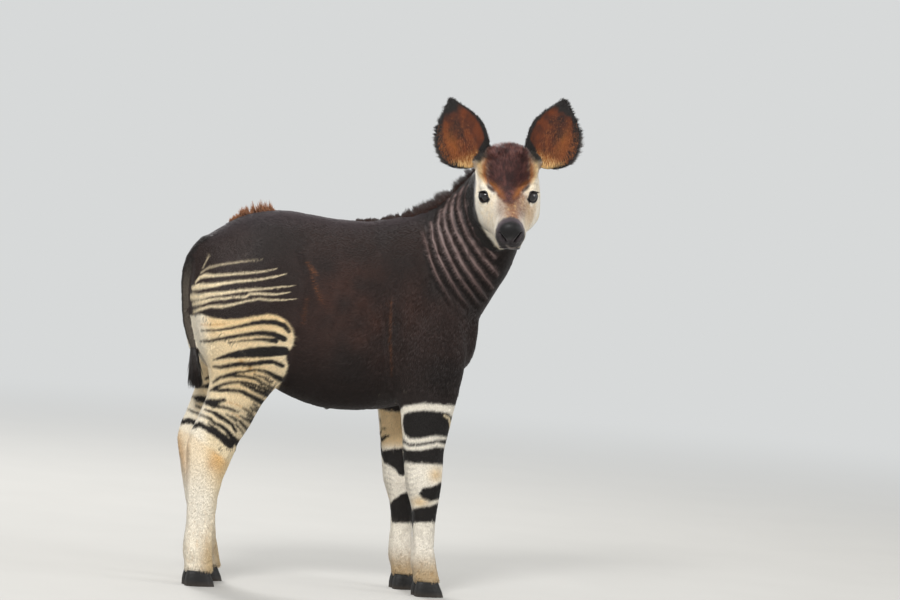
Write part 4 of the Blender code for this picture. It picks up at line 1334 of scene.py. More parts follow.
@dataclass(frozen=True)
class Face:
    """The soft parts of the face: lids, brow, nostrils and mouth, in the head's frame."""

    nostril: tuple = ((0.0125, -0.067), (0.0160, -0.059), (0.0220, -0.050), (0.0280, -0.043))
    nostril_width: float = 0.0036
    nostril_depth: float = 0.0080
    mouth_depth: float = 0.0026

    def shape(self, points: Array, region: Array) -> Array:
        """Moves the skin of the head into lids, nostrils and a mouth line.

        Args:
            points: Places in the calf's own frame.
            region: Region numbers.

        Returns:
            The moved places.
        """
        place = PLACING.to_head(points)
        head = np.flatnonzero(region == Region.HEAD)
        spot = place[head]
        for sign in SIDES.values():
            spot = self.nostrils(spot, sign)
        spot = self.mouth(spot)
        for sign in SIDES.values():
            spot = self.lids(spot, sign)
        place[head] = spot
        return PLACING.from_head(place)

    def lids(self, spot: Array, sign: float) -> Array:
        """Draws the skin over one eyeball and opens it between the lids."""
        middle = PLACING.eye_at(sign)
        far, reach, high = LIDS.opening(spot, sign)
        radius = PLACING.eye_radius
        out = unit(spot - middle)
        over = radius + LIDS.thickness + 0.0008 * step(-0.2, 0.6, high)
        goal = over + (radius - LIDS.hollow - over) * step(0.0003, -0.0011, far)
        hold = step(LIDS.reach, 0.0015, far) * step(radius + 0.022, radius + 0.010, reach)
        lifted = reach + (goal - reach) * hold
        crease = np.where(high > 0, bump(far, 0.0058, 0.0014), 0.8 * bump(far, 0.0066, 0.0013))
        lifted -= 0.0013 * crease * step(0.05, 0.3, np.abs(high))
        lifted += 0.0018 * bump(far, 0.0110, 0.0040) * step(0.1, 0.7, high)
        inside = (reach < radius + 0.030) & (far < 0.045)
        return np.where(inside[:, None], middle + out * lifted[:, None], spot)

    def nostrils(self, spot: Array, sign: float) -> Array:
        """Sinks one comma-shaped nostril with a soft raised rim."""
        best = np.full(len(spot), 9.0)
        knots = np.array(self.nostril) * (sign, 1)
        for start, end in zip(knots, knots[1:]):
            way = end - start
            along = np.clip((spot[:, 1:] - start) @ way / (way @ way), 0, 1)
            best = np.minimum(best, np.linalg.norm(spot[:, 1:] - start - along[:, None] * way, axis=1))
        best = np.where(spot[:, 0] > 0.29, best, 9.0)
        sunk = self.nostril_depth * step(self.nostril_width, self.nostril_width * 0.35, best)
        rim = 0.0014 * bump(best, self.nostril_width * 1.7, 0.0022)
        return spot + np.array([-0.93, -0.30 * sign, 0.15]) * (sunk - rim)[:, None]

    def mouth(self, spot: Array) -> Array:
        """Cuts the groove between the lips and the cleft under the nose."""
        line = -0.0915 + 0.10 * np.clip(0.325 - spot[:, 0], 0, 1) + 0.004 * np.cos(spot[:, 1] / 0.014)
        groove = bump(spot[:, 2], line, 0.0022) * step(0.235, 0.262, spot[:, 0])
        cleft = bump(spot[:, 1], 0, 0.0014) * bump(spot[:, 2], -0.074, 0.012) * step(0.31, 0.325, spot[:, 0])
        middle = np.array([0.27, 0.0, -0.06])
        inward = unit(middle - spot)
        return spot + inward * (self.mouth_depth * (groove + 0.5 * cleft))[:, None]


class Unwrap:
    """An unwrap of the skin: each region is laid flat from the six sides, and the sheets are packed."""

    margin: float = 0.004

    def __init__(self, points: Array, faces: Array, region: Array, way: Array) -> None:
        """Lays out the sheets.

        Args:
            points: The skin's vertex places.
            faces: Its triangles.
            region: The region number of each face.
            way: The outward direction of each face.
        """
        axis = np.abs(way).argmax(axis=1)
        self.sheet = region * 6 + axis * 2 + (way[np.arange(len(way)), axis] > 0)
        self.low: dict[int, Array] = {}
        sizes = {}
        for sheet in np.unique(self.sheet):
            flat = self.flat(points[faces[self.sheet == sheet].ravel()], sheet)
            self.low[sheet] = flat.min(0)
            sizes[sheet] = flat.max(0) - flat.min(0)
        scale = 1.0
        while not self.pack(sizes, scale):
            scale *= 0.97
        self.scale = scale

    def flat(self, points: Array, sheet: int) -> Array:
        """The places seen from the side that a sheet faces."""
        axis = sheet % 6 // 2
        return points[:, [(1, 2), (0, 2), (0, 1)][axis]]

    def pack(self, sizes: dict[int, Array], scale: float) -> bool:
        """Puts the sheets on shelves in the unit square, and says whether they fit."""
        self.corner = {}
        x = y = self.margin
        shelf = 0.0
        for sheet in sorted(sizes, key=lambda s: -sizes[s][1]):
            wide, high = sizes[sheet] * scale + self.margin * 2
            if x + wide > 1:
                x, y, shelf = self.margin, y + shelf, 0.0
            if x + wide > 1 or y + high > 1:
                return False
            self.corner[sheet] = np.array([x, y]) + self.margin
            x, shelf = x + wide, max(shelf, high)
        return True

    def places(self, points: Array, face: Array) -> Array:
        """Where points on given faces come on the unwrap."""
        made = np.zeros((len(points), 2))
        sheets = self.sheet[face]
        for sheet in np.unique(sheets):
            here = sheets == sheet
            made[here] = (self.flat(points[here], sheet) - self.low[sheet]) * self.scale + self.corner[sheet]
        return made


@dataclass(frozen=True)
class Hair:
    """The size and number of the tufts on one kind of skin."""

    width: float
    length: float
    height: float
    density: float  # tufts on each square metre


HAIR = {
    "body": Hair(0.0024, 0.0145, 0.0042, 112_000),
    "haunch": Hair(0.0020, 0.0085, 0.0028, 175_000),
    "legs": Hair(0.0018, 0.0080, 0.0024, 160_000),
    "face": Hair(0.0013, 0.0060, 0.0017, 230_000),
    "forehead": Hair(0.0017, 0.0130, 0.0085, 215_000),
    "muzzle": Hair(0.0009, 0.0028, 0.0007, 260_000),
    "ears": Hair(0.0013, 0.0062, 0.0016, 230_000),
    "tail": Hair(0.0018, 0.0100, 0.0028, 150_000),
}


class Coat:
    """The short hair, rooted over the skin and laid along the lie of the coat."""

    def __init__(self, skin: Object) -> None:
        """Reads the skin and unwraps it."""
        mesh = skin.data
        self.points = places(mesh) - ORIGIN
        self.faces = triangles_of(mesh)
        self.way = normals(mesh)
        self.region = read_region(mesh)
        self.face_region = np.median(self.region[self.faces], axis=1).astype(int)
        a, b, c = (self.points[self.faces[:, i]] for i in range(3))
        self.area = np.linalg.norm(np.cross(b - a, c - a), axis=1) / 2
        smooth = unit(eased(self.way, edges_of(mesh), 20, 0.5))
        self.unwrap = Unwrap(self.points, self.faces, self.face_region, smooth[self.faces].mean(axis=1))
        self.random = np.random.default_rng(11)

    def kinds(self, points: Array, region: Array) -> Array:
        """Which kind of hair grows at each place, as a number into HAIR."""
        head = region == Region.HEAD
        place = PLACING.to_head(points)
        number = list(HAIR).index
        kind = np.full(len(points), number("body"))
        for where, name in (
            ((points[:, 0] < -0.07) & (points[:, 2] < 1.0), "haunch"),
            (np.isin(region, LEGS), "legs"),
            (np.isin(region, HINDLEGS) & (points[:, 2] > 0.45), "haunch"),
            (np.isin(region, FORELEGS) & (points[:, 2] > 0.58), "body"),
            (region == Region.TAIL, "tail"),
            (np.isin(region, EAR_BLADES), "ears"),
            (head, "face"),
            (head & (place[:, 2] > 0.004) & (place[:, 0] < 0.15), "forehead"),
            (head & (place[:, 0] > 0.262), "muzzle"),
        ):
            kind[where] = number(name)
        return kind

    def bare(self, points: Array, region: Array) -> Array:
        """Whether a place has no hair: the lids' rims, and the nose pad with the nostrils in it."""
        place = PLACING.to_head(points)
        head = region == Region.HEAD
        none = np.zeros(len(points), bool)
        for sign in SIDES.values():
            far, reach, _ = LIDS.opening(place, sign)
            none |= head & (far < 0.0018) & (reach < PLACING.eye_radius + 0.012)
        none |= head & (place[:, 0] > 0.312) & (np.abs(place[:, 1]) < 0.030) & (place[:, 2] > -0.066)
        return none

    def lie(self, points: Array, region: Array, way: Array) -> Array:
        """The way the hair points at each place, along the skin."""
        x, height = points[:, 0], points[:, 2]
        side = np.sign(points[:, 1])
        out = np.tile([-1.0, 0.0, -0.22], (len(points), 1))
        legs = np.isin(region, LEGS)
        for fall, share in (
            ((-0.30, 0, -1.0), step(0.02, 0.24, x) * step(1.0, 0.82, height)),  # the chest
            ((-0.38, 0, -0.95), step(-0.06, -0.22, x) * step(1.02, 0.88, height)),  # the haunch
            ((-0.12, 0, -1.0), legs * step(0.66, 0.5, height)),  # the legs
        ):
            out += (np.array(fall) - out) * share[:, None]
        hem = (legs * step(0.075, 0.052, height))[:, None]
        out += (way * (1, 1, 0) * 0.75 + (0, 0, -1.0) - out) * hem
        out[region == Region.NECK] = (-0.72, 0.30, -0.62)
        out[region == Region.TAIL] = (-0.15, 0.0, -1.0)
        head = region == Region.HEAD
        place = PLACING.to_head(points)
        back = np.column_stack([
            np.full(len(points), -1.0), 0.35 * np.sign(place[:, 1]) * step(0.0, 0.05, np.abs(place[:, 1])),
            0.35 * step(0.15, 0.06, place[:, 0]) - 0.45 * step(-0.02, -0.07, place[:, 2]),
        ])
        out[head] = (back @ HEAD_AXES.T)[head]
        for ear, blade in zip(EARS.values(), EAR_BLADES):
            here = region == blade
            root, axis, across, _ = ear.axes()
            reach = (points[here] - root) @ across
            out[here] = axis + across * np.clip(reach / 0.06, -0.8, 0.8)[:, None]
        flared = unit(out) * hem
        turn = lumps(points, 0.012, 31)[:, None] * 0.16 + self.random.normal(0, 0.10, (len(points), 1))
        out = unit(out) + np.cross(way, unit(out)) * turn
        out -= way * (out * way).sum(axis=1)[:, None]
        flat = np.linalg.norm(out, axis=1) < 0.12
        out[flat] = np.cross(way[flat], np.column_stack([side[flat], 0 * side[flat], 0 * side[flat]]) + 0.01)
        fluff = head & (place[:, 2] > 0.016) & (place[:, 0] < 0.135) & (np.abs(place[:, 1]) < 0.075)
        lift = fluff * step(0.135, 0.075, place[:, 0]) * (0.50 + 0.45 * lumps(points, 0.007, 35))
        return unit(out + flared * 0.35 + way * lift[:, None])

    def roots(self, picked: Array) -> dict[str, Array]:
        """Roots spread over the picked faces, with all that their tufts need.

        Args:
            picked: Which faces to cover.

        Returns:
            Arrays by name, one row a root.
        """
        face = np.flatnonzero(picked)
        middle = self.points[self.faces[face]].mean(axis=1)
        table = np.array([(h.width, h.length, h.height, h.density) for h in HAIR.values()])
        weight = self.area[face] * table[self.kinds(middle, self.face_region[face]), 3]
        total = weight.cumsum()
        marks = np.arange(0.0, total[-1]) + self.random.random(int(math.ceil(total[-1])))
        face = face[np.searchsorted(total, marks[marks < total[-1]])]
        mix = self.random.random((len(face), 2))
        mix = np.where(mix.sum(axis=1)[:, None] > 1, 1 - mix, mix)
        mix = np.column_stack([1 - mix.sum(axis=1), mix])
        three = self.faces[face]
        place = np.einsum("fij,fi->fj", self.points[three], mix)
        way = unit(np.einsum("fij,fi->fj", self.way[three], mix))
        region = self.face_region[face]
        keep = ~self.bare(place, region)
        face, place, way, region = face[keep], place[keep], way[keep], region[keep]
        size = table[self.kinds(place, region), :3] * self.random.uniform(0.75, 1.25, (len(place), 1))
        size[:, 1] *= 1 + 0.18 * lumps(place, 0.03, 32) + 0.5 * step(0.075, 0.052, place[:, 2])
        lie = self.lie(place, region, way)
        tip = place + lie * size[:, 1:2] * 0.85
        return {
            "place": place, "lie": lie, "size": size,
            "normal": unit(way - lie * (way * lie).sum(axis=1)[:, None]),
            "coat_colour": HIDE.colour(place + lie * size[:, 1:2] * 0.15, region, way),
            "tip_colour": HIDE.colour(tip, region, way),
            "shade": self.random.uniform(-0.26, 0.26, len(place)) + 0.12 * lumps(place, 0.008, 33),
            "root_uv": self.unwrap.places(place, face),
        }

    def pieces(self) -> dict[str, tuple[Array, str]]:
        """The faces and the material slot of each piece of the short coat."""
        x = self.points[self.faces].mean(axis=1)[:, 0]
        trunk = self.face_region == Region.TRUNK
        covers = {
            "coat_shoulder": (trunk & (x >= 0.10), "dark_coat"),
            "coat_barrel": (trunk & (x < 0.10) & (x >= -0.15), "dark_coat"),
            "coat_croup": (trunk & (x < -0.15), "dark_coat"),
        }
        for name, slot, owners in (
            ("coat_neck", "dark_coat", (Region.NECK,)),
            ("coat_head", "russet_coat", (Region.HEAD,)),
            ("coat_ears", "russet_coat", EAR_BLADES),
            ("coat_foreleg_right", "cream_coat", (Region.FORE_RIGHT,)),
            ("coat_foreleg_left", "cream_coat", (Region.FORE_LEFT,)),
            ("coat_hindleg_right", "cream_coat", (Region.HIND_RIGHT,)),
            ("coat_hindleg_left", "cream_coat", (Region.HIND_LEFT,)),
            ("coat_tail", "dark_coat", (Region.TAIL,)),
        ):
            covers[name] = (np.isin(self.face_region, owners), slot)
        return covers


class TuftShape(Enum):
    """How finely one tuft is modelled."""

    SPIKE = 1  # four triangles, for short hair seen as a scale
    LOCK = 2  # two lengths that curve, for hair seen from root to tip


def tuft_mesh(name: str, shape: TuftShape, bend: float) -> Object:
    """One closed tuft of size 1, rooted at the origin, lying along +Y with its back towards +Z.

    Args:
        name: The object's name.
        shape: How finely to model it.
        bend: How far its tip goes sideways, in widths.

    Returns:
        The object, with its share of the length and its place on the bake map stored on it.
    """
    if shape is TuftShape.SPIKE:
        points = [(-0.5, 0, -0.30), (0.5, 0, -0.30), (bend * 0.1, 0.14, 0.38), (bend, 1.0, 0.62)]
        faces = [(0, 2, 1), (0, 3, 2), (2, 3, 1), (0, 1, 3)]
    else:
        points = [
            (-0.5, 0, -0.3), (0.5, 0, -0.3), (0, 0, 0.5),
            (bend * 0.35 - 0.42, 0.5, -0.1), (bend * 0.35 + 0.42, 0.5, -0.1), (bend * 0.35, 0.5, 0.55),
            (bend, 1.0, 0.35),
        ]
        faces = [
            (0, 2, 1), (0, 1, 4, 3), (1, 2, 5, 4), (2, 0, 3, 5), (3, 4, 6), (4, 5, 6), (5, 3, 6),
        ]
    obj = add_mesh(name, points, faces)
    made = bmesh.new()
    made.from_mesh(obj.data)
    bmesh.ops.recalc_face_normals(made, faces=made.faces)
    poured(made, obj.data)
    rows = np.array(points)
    set_attribute(obj.data, "along", "FLOAT", rows[:, 1])
    flat = np.column_stack([rows[:, 0] * 0.8, rows[:, 1] - 0.5])
    set_attribute(obj.data, "tuft_uv", "FLOAT2", np.clip(flat, -0.5, 0.5))
    return obj


ROOT_FIELDS = ("normal", "lie", "size", "root_uv", "tuft_uv")  # what the tree reads, and no material


def tuft_tree(material: Material, shapes: list[Object]) -> NodeTree:
    """The node tree that grows a tuft on each root.

    Args:
        material: What the tufts wear.
        shapes: The tufts to choose from.

    Returns:
        The tree. Its inputs are the roots, the patch's size on the bake map, the share of the skin's own
        direction in the tufts' shading, and the seed of the choice of shapes.
    """
    tree = bpy.data.node_groups.new("grow_tufts", "GeometryNodeTree")
    for name, kind, value in (
        ("Roots", "NodeSocketGeometry", None), ("Patch", "NodeSocketFloat", 0.003),
        ("Softness", "NodeSocketFloat", 0.6), ("Seed", "NodeSocketInt", 5),
    ):
        socket = tree.interface.new_socket(name, in_out="INPUT", socket_type=kind)
        if value is not None:
            socket.default_value = value
    tree.interface.new_socket("Coat", in_out="OUTPUT", socket_type="NodeSocketGeometry")
    source = add(tree, "NodeGroupInput")
    joined = add(tree, "GeometryNodeJoinGeometry")
    for shape in shapes:
        info = add(tree, "GeometryNodeObjectInfo", {"Object": shape, "As Instance": True})
        wire(joined, {0: info.outputs["Geometry"]})
    told = {
        name: add(tree, "GeometryNodeInputNamedAttribute", {"data_type": "FLOAT_VECTOR", "Name": name})
        for name in ROOT_FIELDS
    }
    turned = add(
        tree, "FunctionNodeAxesToRotation", {"primary_axis": "Z", "secondary_axis": "Y"},
        {"Primary Axis": told["normal"], "Secondary Axis": told["lie"]},
    )
    choice = add(tree, "FunctionNodeRandomValue", {"data_type": "INT"}, {"Seed": source.outputs["Seed"]})
    low, high = [socket for socket in choice.inputs if socket.type == "INT" and socket.name in ("Min", "Max")]
    low.default_value, high.default_value = 0, len(shapes) - 1
    picked = [socket for socket in choice.outputs if socket.type == "INT"][0]
    grown = add(
        tree, "GeometryNodeInstanceOnPoints", {"Pick Instance": True},
        {"Points": source.outputs["Roots"], "Instance": joined, "Instance Index": picked,
         "Rotation": turned, "Scale": told["size"]},
    )
    real = add(tree, "GeometryNodeRealizeInstances", links={"Geometry": grown})
    spread = add(
        tree, "ShaderNodeVectorMath", {"operation": "SCALE"},
        {"Vector": told["tuft_uv"], "Scale": source.outputs["Patch"]},
    )
    spot = add(tree, "ShaderNodeVectorMath", {"operation": "ADD"}, {0: told["root_uv"], 1: spread})
    mapped = add(
        tree, "GeometryNodeStoreNamedAttribute",
        {"data_type": "FLOAT2", "domain": "CORNER", "Name": "OFBake"},
        {"Geometry": real, "Value": spot},
    )
    own = add(tree, "GeometryNodeInputNormal")
    blend = add(tree, "ShaderNodeMix", {"data_type": "VECTOR"}, {"Factor": source.outputs["Softness"]})
    ends = [socket for socket in blend.inputs if socket.type == "VECTOR" and socket.name in ("A", "B")]
    tree.links.new(own.outputs[0], ends[0])
    tree.links.new(told["normal"].outputs[0], ends[1])
    mixed = [socket for socket in blend.outputs if socket.type == "VECTOR"][0]
    even = add(tree, "ShaderNodeVectorMath", {"operation": "NORMALIZE"}, {0: mixed})
    shaded = add(
        tree, "GeometryNodeSetMeshNormal", {"mode": "FREE", "domain": "POINT"},
        {"Mesh": mapped, "Custom Normal": even},
    )
    dressed = add(tree, "GeometryNodeSetMaterial", {"Material": material}, {"Geometry": shaded})
    end = add(tree, "NodeGroupOutput")
    wire(end, {0: dressed})
    return tree


class Grower:
    """Turns roots into pieces of coat, through a node tree made for each piece from its finish and shape."""

    bends: tuple = (-0.5, 0.0, 0.5)  # how far the tips of the model tufts go sideways, in widths

    def __init__(self) -> None:
        """Models the tufts to choose from."""
        self.shapes = {
            kind: [tuft_mesh(f"tuft_{kind.name}_{i}", kind, bend) for i, bend in enumerate(self.bends)]
            for kind in TuftShape
        }
        self.materials = {
            "dark_coat": CoatFinish("dark_coat").build(),
            "cream_coat": CoatFinish("cream_coat", fleck=0.14).build(),
            "russet_coat": CoatFinish("russet_coat").build(),
        }

    def grow(
        self, name: str, roots: dict[str, Array], slot: str, shape: TuftShape, softness: float
    ) -> Object:
        """One piece of coat.

        Args:
            name: The piece's name.
            roots: Arrays by name, with places in the calf's own frame.
            slot: The material slot that it wears.
            shape: How finely its tufts are modelled.
            softness: The share of the skin's own direction in their shading.

        Returns:
            The piece, as a plain mesh.
        """
        obj = add_mesh(name, roots["place"] + ORIGIN, [])
        for key, values in roots.items():
            kind = "FLOAT_COLOR" if key.endswith("colour") else "FLOAT" if key == "shade" else "FLOAT_VECTOR"
            if key == "root_uv":
                values = np.column_stack([values, np.zeros(len(values))])
            if key != "place":
                set_attribute(obj.data, key, kind, values)
        tree = tuft_tree(self.materials[slot], self.shapes[shape])
        modifier = obj.modifiers.new("grow", "NODES")
        modifier.node_group = tree
        sockets = {item.name: item.identifier for item in tree.interface.items_tree if item.in_out == "INPUT"}
        modifier[sockets["Softness"]] = softness
        modifier[sockets["Seed"]] = len(name)
        settled(obj)
        for spare in ROOT_FIELDS:
            if spare in obj.data.attributes:
                obj.data.attributes.remove(obj.data.attributes[spare])
        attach(obj, "root")
        log.info("%s: %d tufts, %d faces", name, len(roots["place"]), len(obj.data.polygons))
        return obj

    def put_away(self) -> None:
        """Removes the model tufts."""
        for shapes in self.shapes.values():
            for shape in shapes:
                bpy.data.objects.remove(shape)


def along_path(path: Array, count: int, random: np.random.Generator) -> tuple[Array, Array]:
    """Random places on a polyline.

    Args:
        path: Its points.
        count: How many places.
        random: The source of chance.

    Returns:
        The places and the path's direction at each.
    """
    legs = np.linalg.norm(np.diff(path, axis=0), axis=1)
    reach = np.concatenate([[0], legs.cumsum()])
    marks = (np.arange(count) + random.random(count)) / count * reach[-1]
    found = np.column_stack([np.interp(marks, reach, path[:, axis]) for axis in range(3)])
    ahead = np.column_stack([np.interp(marks + 0.01, reach, path[:, axis]) for axis in range(3)])
    back = np.column_stack([np.interp(marks - 0.01, reach, path[:, axis]) for axis in range(3)])
    return found, unit(ahead - back)


def lock_size(width: float, length: Array, height: float) -> Array:
    """The width, length and height of each lock, from their lengths."""
    return np.column_stack([np.full(len(length), width), length, np.full(len(length), height)])


def together(parts: list[dict[str, Array]]) -> dict[str, Array]:
    """Several sets of roots as one."""
    return {key: np.concatenate([part[key] for part in parts]) for key in parts[0]}


@dataclass
class LongHair:
    """The mane, the croup crest, the tail tuft, the ear fringes and the lashes."""

    coat: Coat
    grower: Grower
    nape: tuple = (
        (0.100, 0.0, 1.032), (0.165, 0.0, 1.037), (0.222, 0.0, 1.048), (0.269, 0.0, 1.062),
        (0.326, -0.012, 1.096), (0.366, -0.036, 1.138), (0.393, -0.068, 1.176), (0.418, -0.100, 1.210),
        (0.444, -0.124, 1.232),
    )
    croup: tuple = ((-0.262, 0.0, 1.006), (-0.225, 0.0, 1.023), (-0.165, 0.0, 1.040), (-0.134, 0.0, 1.043))
    tail: tuple = (
        (-0.3365, -0.0110, 0.6500), (-0.3270, -0.0160, 0.6182), (-0.3205, -0.0200, 0.5860),
    )
    tail_end: float = 0.541
    mane_locks: int = 5200
    croup_locks: int = 1300
    tail_locks: int = 2600
    rim_locks: int = 3400  # on each ear
    conch_locks: int = 1500
    lash_locks: int = 150  # on each eye

    def roots(
        self, place: Array, lie: Array, back: Array, size: Array, colours: tuple[str, str], spread: float
    ) -> dict[str, Array]:
        """Roots of long hair, with their places on the bake map.

        Args:
            place: Places in the calf's own frame.
            lie: The way each lock points.
            back: The way each lock's back faces.
            size: Width, length and height of each.
            colours: The colour at the root and at the tip, as hex.
            spread: How much the shade varies.

        Returns:
            Arrays by name, one row a root.
        """
        random = self.coat.random
        closest = nearest(self.coat.points, place)
        owner = np.zeros(len(self.coat.points), int)
        owner[self.coat.faces.ravel()] = np.repeat(np.arange(len(self.coat.faces)), 3)
        return {
            "place": place, "normal": unit(back), "lie": unit(lie), "size": size,
            "coat_colour": np.tile(linear(colours[0]), (len(place), 1)),
            "tip_colour": np.tile(linear(colours[1]), (len(place), 1)),
            "shade": random.uniform(-spread, spread, len(place)),
            "root_uv": self.coat.unwrap.places(self.coat.points[closest], owner[closest]),
        }

    def crest(
        self, path: tuple, count: int, half_width: float, low: float, high: float, lean: float, ragged: float
    ) -> tuple:
        """Upright locks along a path: their places, ways and sizes."""
        random = self.coat.random
        place, ahead = along_path(np.array(path), count, random)
        across = unit(np.cross(ahead, np.array([[0.0, 0.0, 1.0]])))
        up = unit(np.cross(across, ahead))
        offset = random.normal(0, 0.5, (count, 1)).clip(-1, 1)
        taper = step(0.0, 0.55, np.arange(count) / count) * step(1.0, 0.9, np.arange(count) / count)
        narrow = (1 - ragged * 0.7 * (1 - taper))[:, None]
        place = place + across * offset * half_width * narrow - up * (0.006 + 0.006 * offset**2)
        lie = up + ahead * lean + across * offset * 0.42 + random.normal(0, 0.13, (count, 3))
        clump = 0.5 + (1.1 - ragged) * lumps(place * (1, 1, 0.3), 0.011, 41)
        clump += ragged * lumps(place, 0.0042, 42)
        rise = (high - low) * np.clip(clump, 0, 1) * (1 - 0.35 * np.abs(offset[:, 0]))
        length = low + rise * (0.3 + 0.7 * taper)
        length *= 1 - 0.35 * ragged * (1 - taper)
        size = lock_size(0.0016, length, 0.0011)
        size *= random.uniform(0.7, 1.2, (count, 1))
        return place, lie, across + 0.3 * ahead, size

    def build(self) -> None:
        """Makes every piece of long hair."""
        made = self.crest(self.nape, self.mane_locks, 0.012, 0.008, 0.034, -0.12, 0.45)
        roots = self.roots(*made, (HUES.red_brown, "#1c1514"), 0.3)
        mane = self.grower.grow("mane", roots, "dark_coat", TuftShape.LOCK, 0.25)
        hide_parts("mane_neck")
        made = self.crest(self.croup, self.croup_locks, 0.008, 0.010, 0.042, -0.10, 1.0)
        roots = self.roots(*made, ("#3c2118", "#94603c"), 0.45)
        crest = self.grower.grow("croup_crest", roots, "russet_coat", TuftShape.LOCK, 0.25)
        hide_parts("mane_croup")
        self.tail_tuft()
        self.ear_fringes()
        self.lashes()

    def tail_tuft(self) -> None:
        """The black tuft that hangs from the tail's end."""
        random, count = self.coat.random, self.tail_locks
        place, _ = along_path(np.array(self.tail), count, random)
        turn = random.uniform(0, 2 * math.pi, count)
        side = np.column_stack([np.cos(turn), np.sin(turn), np.zeros(count)])
        down = np.array([0.12, -0.10, -1.0])
        share = np.clip((0.65 - place[:, 2]) / 0.07, 0, 1)
        lie = down + side * (0.62 - 0.34 * share)[:, None] + random.normal(0, 0.07, (count, 3))
        length = np.clip((place[:, 2] - self.tail_end) * random.uniform(0.50, 1.10, count), 0.03, 0.115)
        size = lock_size(0.0026, length, 0.0016)
        place = place + side * (0.009 * (1 - 0.6 * share))[:, None]
        roots = self.roots(place, lie, side, size, (HUES.black, "#241b18"), 0.3)
        tuft = self.grower.grow("tail_tuft_hair", roots, "dark_coat", TuftShape.LOCK, 0.3)
        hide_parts("tail_tuft")

    def ear_fringes(self) -> None:
        """Fringes round the ears' rims, longest on the outer edge, and pale tufts at their roots."""
        random, parts = self.coat.random, []
        for side, name in BLADES.items():
            ear = EARS[side]
            picked = np.flatnonzero(self.coat.region == name)
            spot, way = self.coat.points[picked], self.coat.way[picked]
            along, across, inner = ear.place(spot, way)
            rim = ear.rim(along, across)
            _, axis, out, opening = ear.axes()
            edge = np.flatnonzero((rim < 0.14) & (along > 0.06))
            count = self.rim_locks
            pick = edge[random.integers(0, len(edge), count)]
            base = spot[pick] + random.normal(0, 0.0012, (count, 3))
            outer = across[pick] > 0
            away = np.where(outer[:, None], out, -out) * np.where(along[pick] > 0.93, 0.5, 1.0)[:, None]
            lie = away + axis * (0.35 + 0.8 * along[pick])[:, None] + opening * 0.25
            lie = lie + random.normal(0, 0.12, (count, 3))
            reach = np.where(outer, 0.007 + 0.012 * bump(along[pick], 0.42, 0.40), 0.0048)
            length = reach * (0.7 + 0.5 * lumps(base, 0.006, 43) + random.uniform(-0.2, 0.2, count))
            size = lock_size(0.0011, np.clip(length, 0.003, 0.02), 0.0008)
            roots = self.roots(base, lie, np.tile(opening, (count, 1)), size, (HUES.black, "#2a2423"), 0.3)
            grey = ((along[pick] > 0.2) & (along[pick] < 0.6) & outer)[:, None] * 0.35
            roots["tip_colour"] += (linear("#8a8078") - roots["tip_colour"]) * grey
            parts.append(roots)
            parts.append(self.conch_tufts(ear, spot, along, across, inner))
        self.grower.grow("ear_fringes", together(parts), "russet_coat", TuftShape.SPIKE, 0.3)

    def conch_tufts(
        self, ear: Ear, spot: Array, along: Array, across: Array, inner: Array
    ) -> dict[str, Array]:
        """Longer hairs that cross the ear's opening from its edges and its root."""
        _, axis, out, opening = ear.axes()
        field_of = np.flatnonzero((inner > 0.6) & (along > 0.02) & (along < 0.75) & (across > -0.012))
        random, count = self.coat.random, self.conch_locks
        pick = field_of[random.integers(0, len(field_of), count)]
        base = spot[pick]
        reach = np.clip(across[pick] / 0.09, -0.4, 1)
        lie = axis * 0.9 - out * (reach * 0.9)[:, None] + opening * 0.55 + random.normal(0, 0.16, (count, 3))
        length = random.uniform(0.008, 0.016, count) * step(0.85, 0.3, along[pick])
        size = lock_size(0.0009, np.clip(length, 0.004, 0.02), 0.0007)
        roots = self.roots(base, lie, np.tile(opening, (count, 1)), size, ("#6a3212", "#a8622c"), 0.35)
        pale = step(0.22, 0.06, along[pick])[:, None]
        roots["tip_colour"] += (linear(HUES.butter) - roots["tip_colour"]) * pale
        roots["coat_colour"] += (linear(HUES.tan) - roots["coat_colour"]) * pale
        return roots

    def lashes(self) -> None:
        """Upper lashes, rooted on the lids' rims."""
        random, parts = self.coat.random, []
        place = PLACING.to_head(self.coat.points)
        for sign in SIDES.values():
            far, reach, high = LIDS.opening(place, sign)
            rim = np.flatnonzero((np.abs(far - 0.0010) < 0.0009) & (high > 0.12) & (reach < 0.026))
            count = self.lash_locks
            pick = rim[random.integers(0, len(rim), count)]
            base = self.coat.points[pick]
            gaze, _, up = LIDS.axes(sign) @ HEAD_AXES.T
            middle = PLACING.from_head(PLACING.eye_at(sign)[None])[0]
            lie = gaze + up * 0.10 + unit(base - middle) * 0.5 + random.normal(0, 0.10, (count, 3))
            size = lock_size(0.0006, random.uniform(0.006, 0.0105, count), 0.0005)
            parts.append(self.roots(base, lie, np.tile(up, (count, 1)), size, (HUES.nose, HUES.black), 0.1))
        self.grower.grow("lashes", together(parts), "dark_coat", TuftShape.LOCK, 0.1)


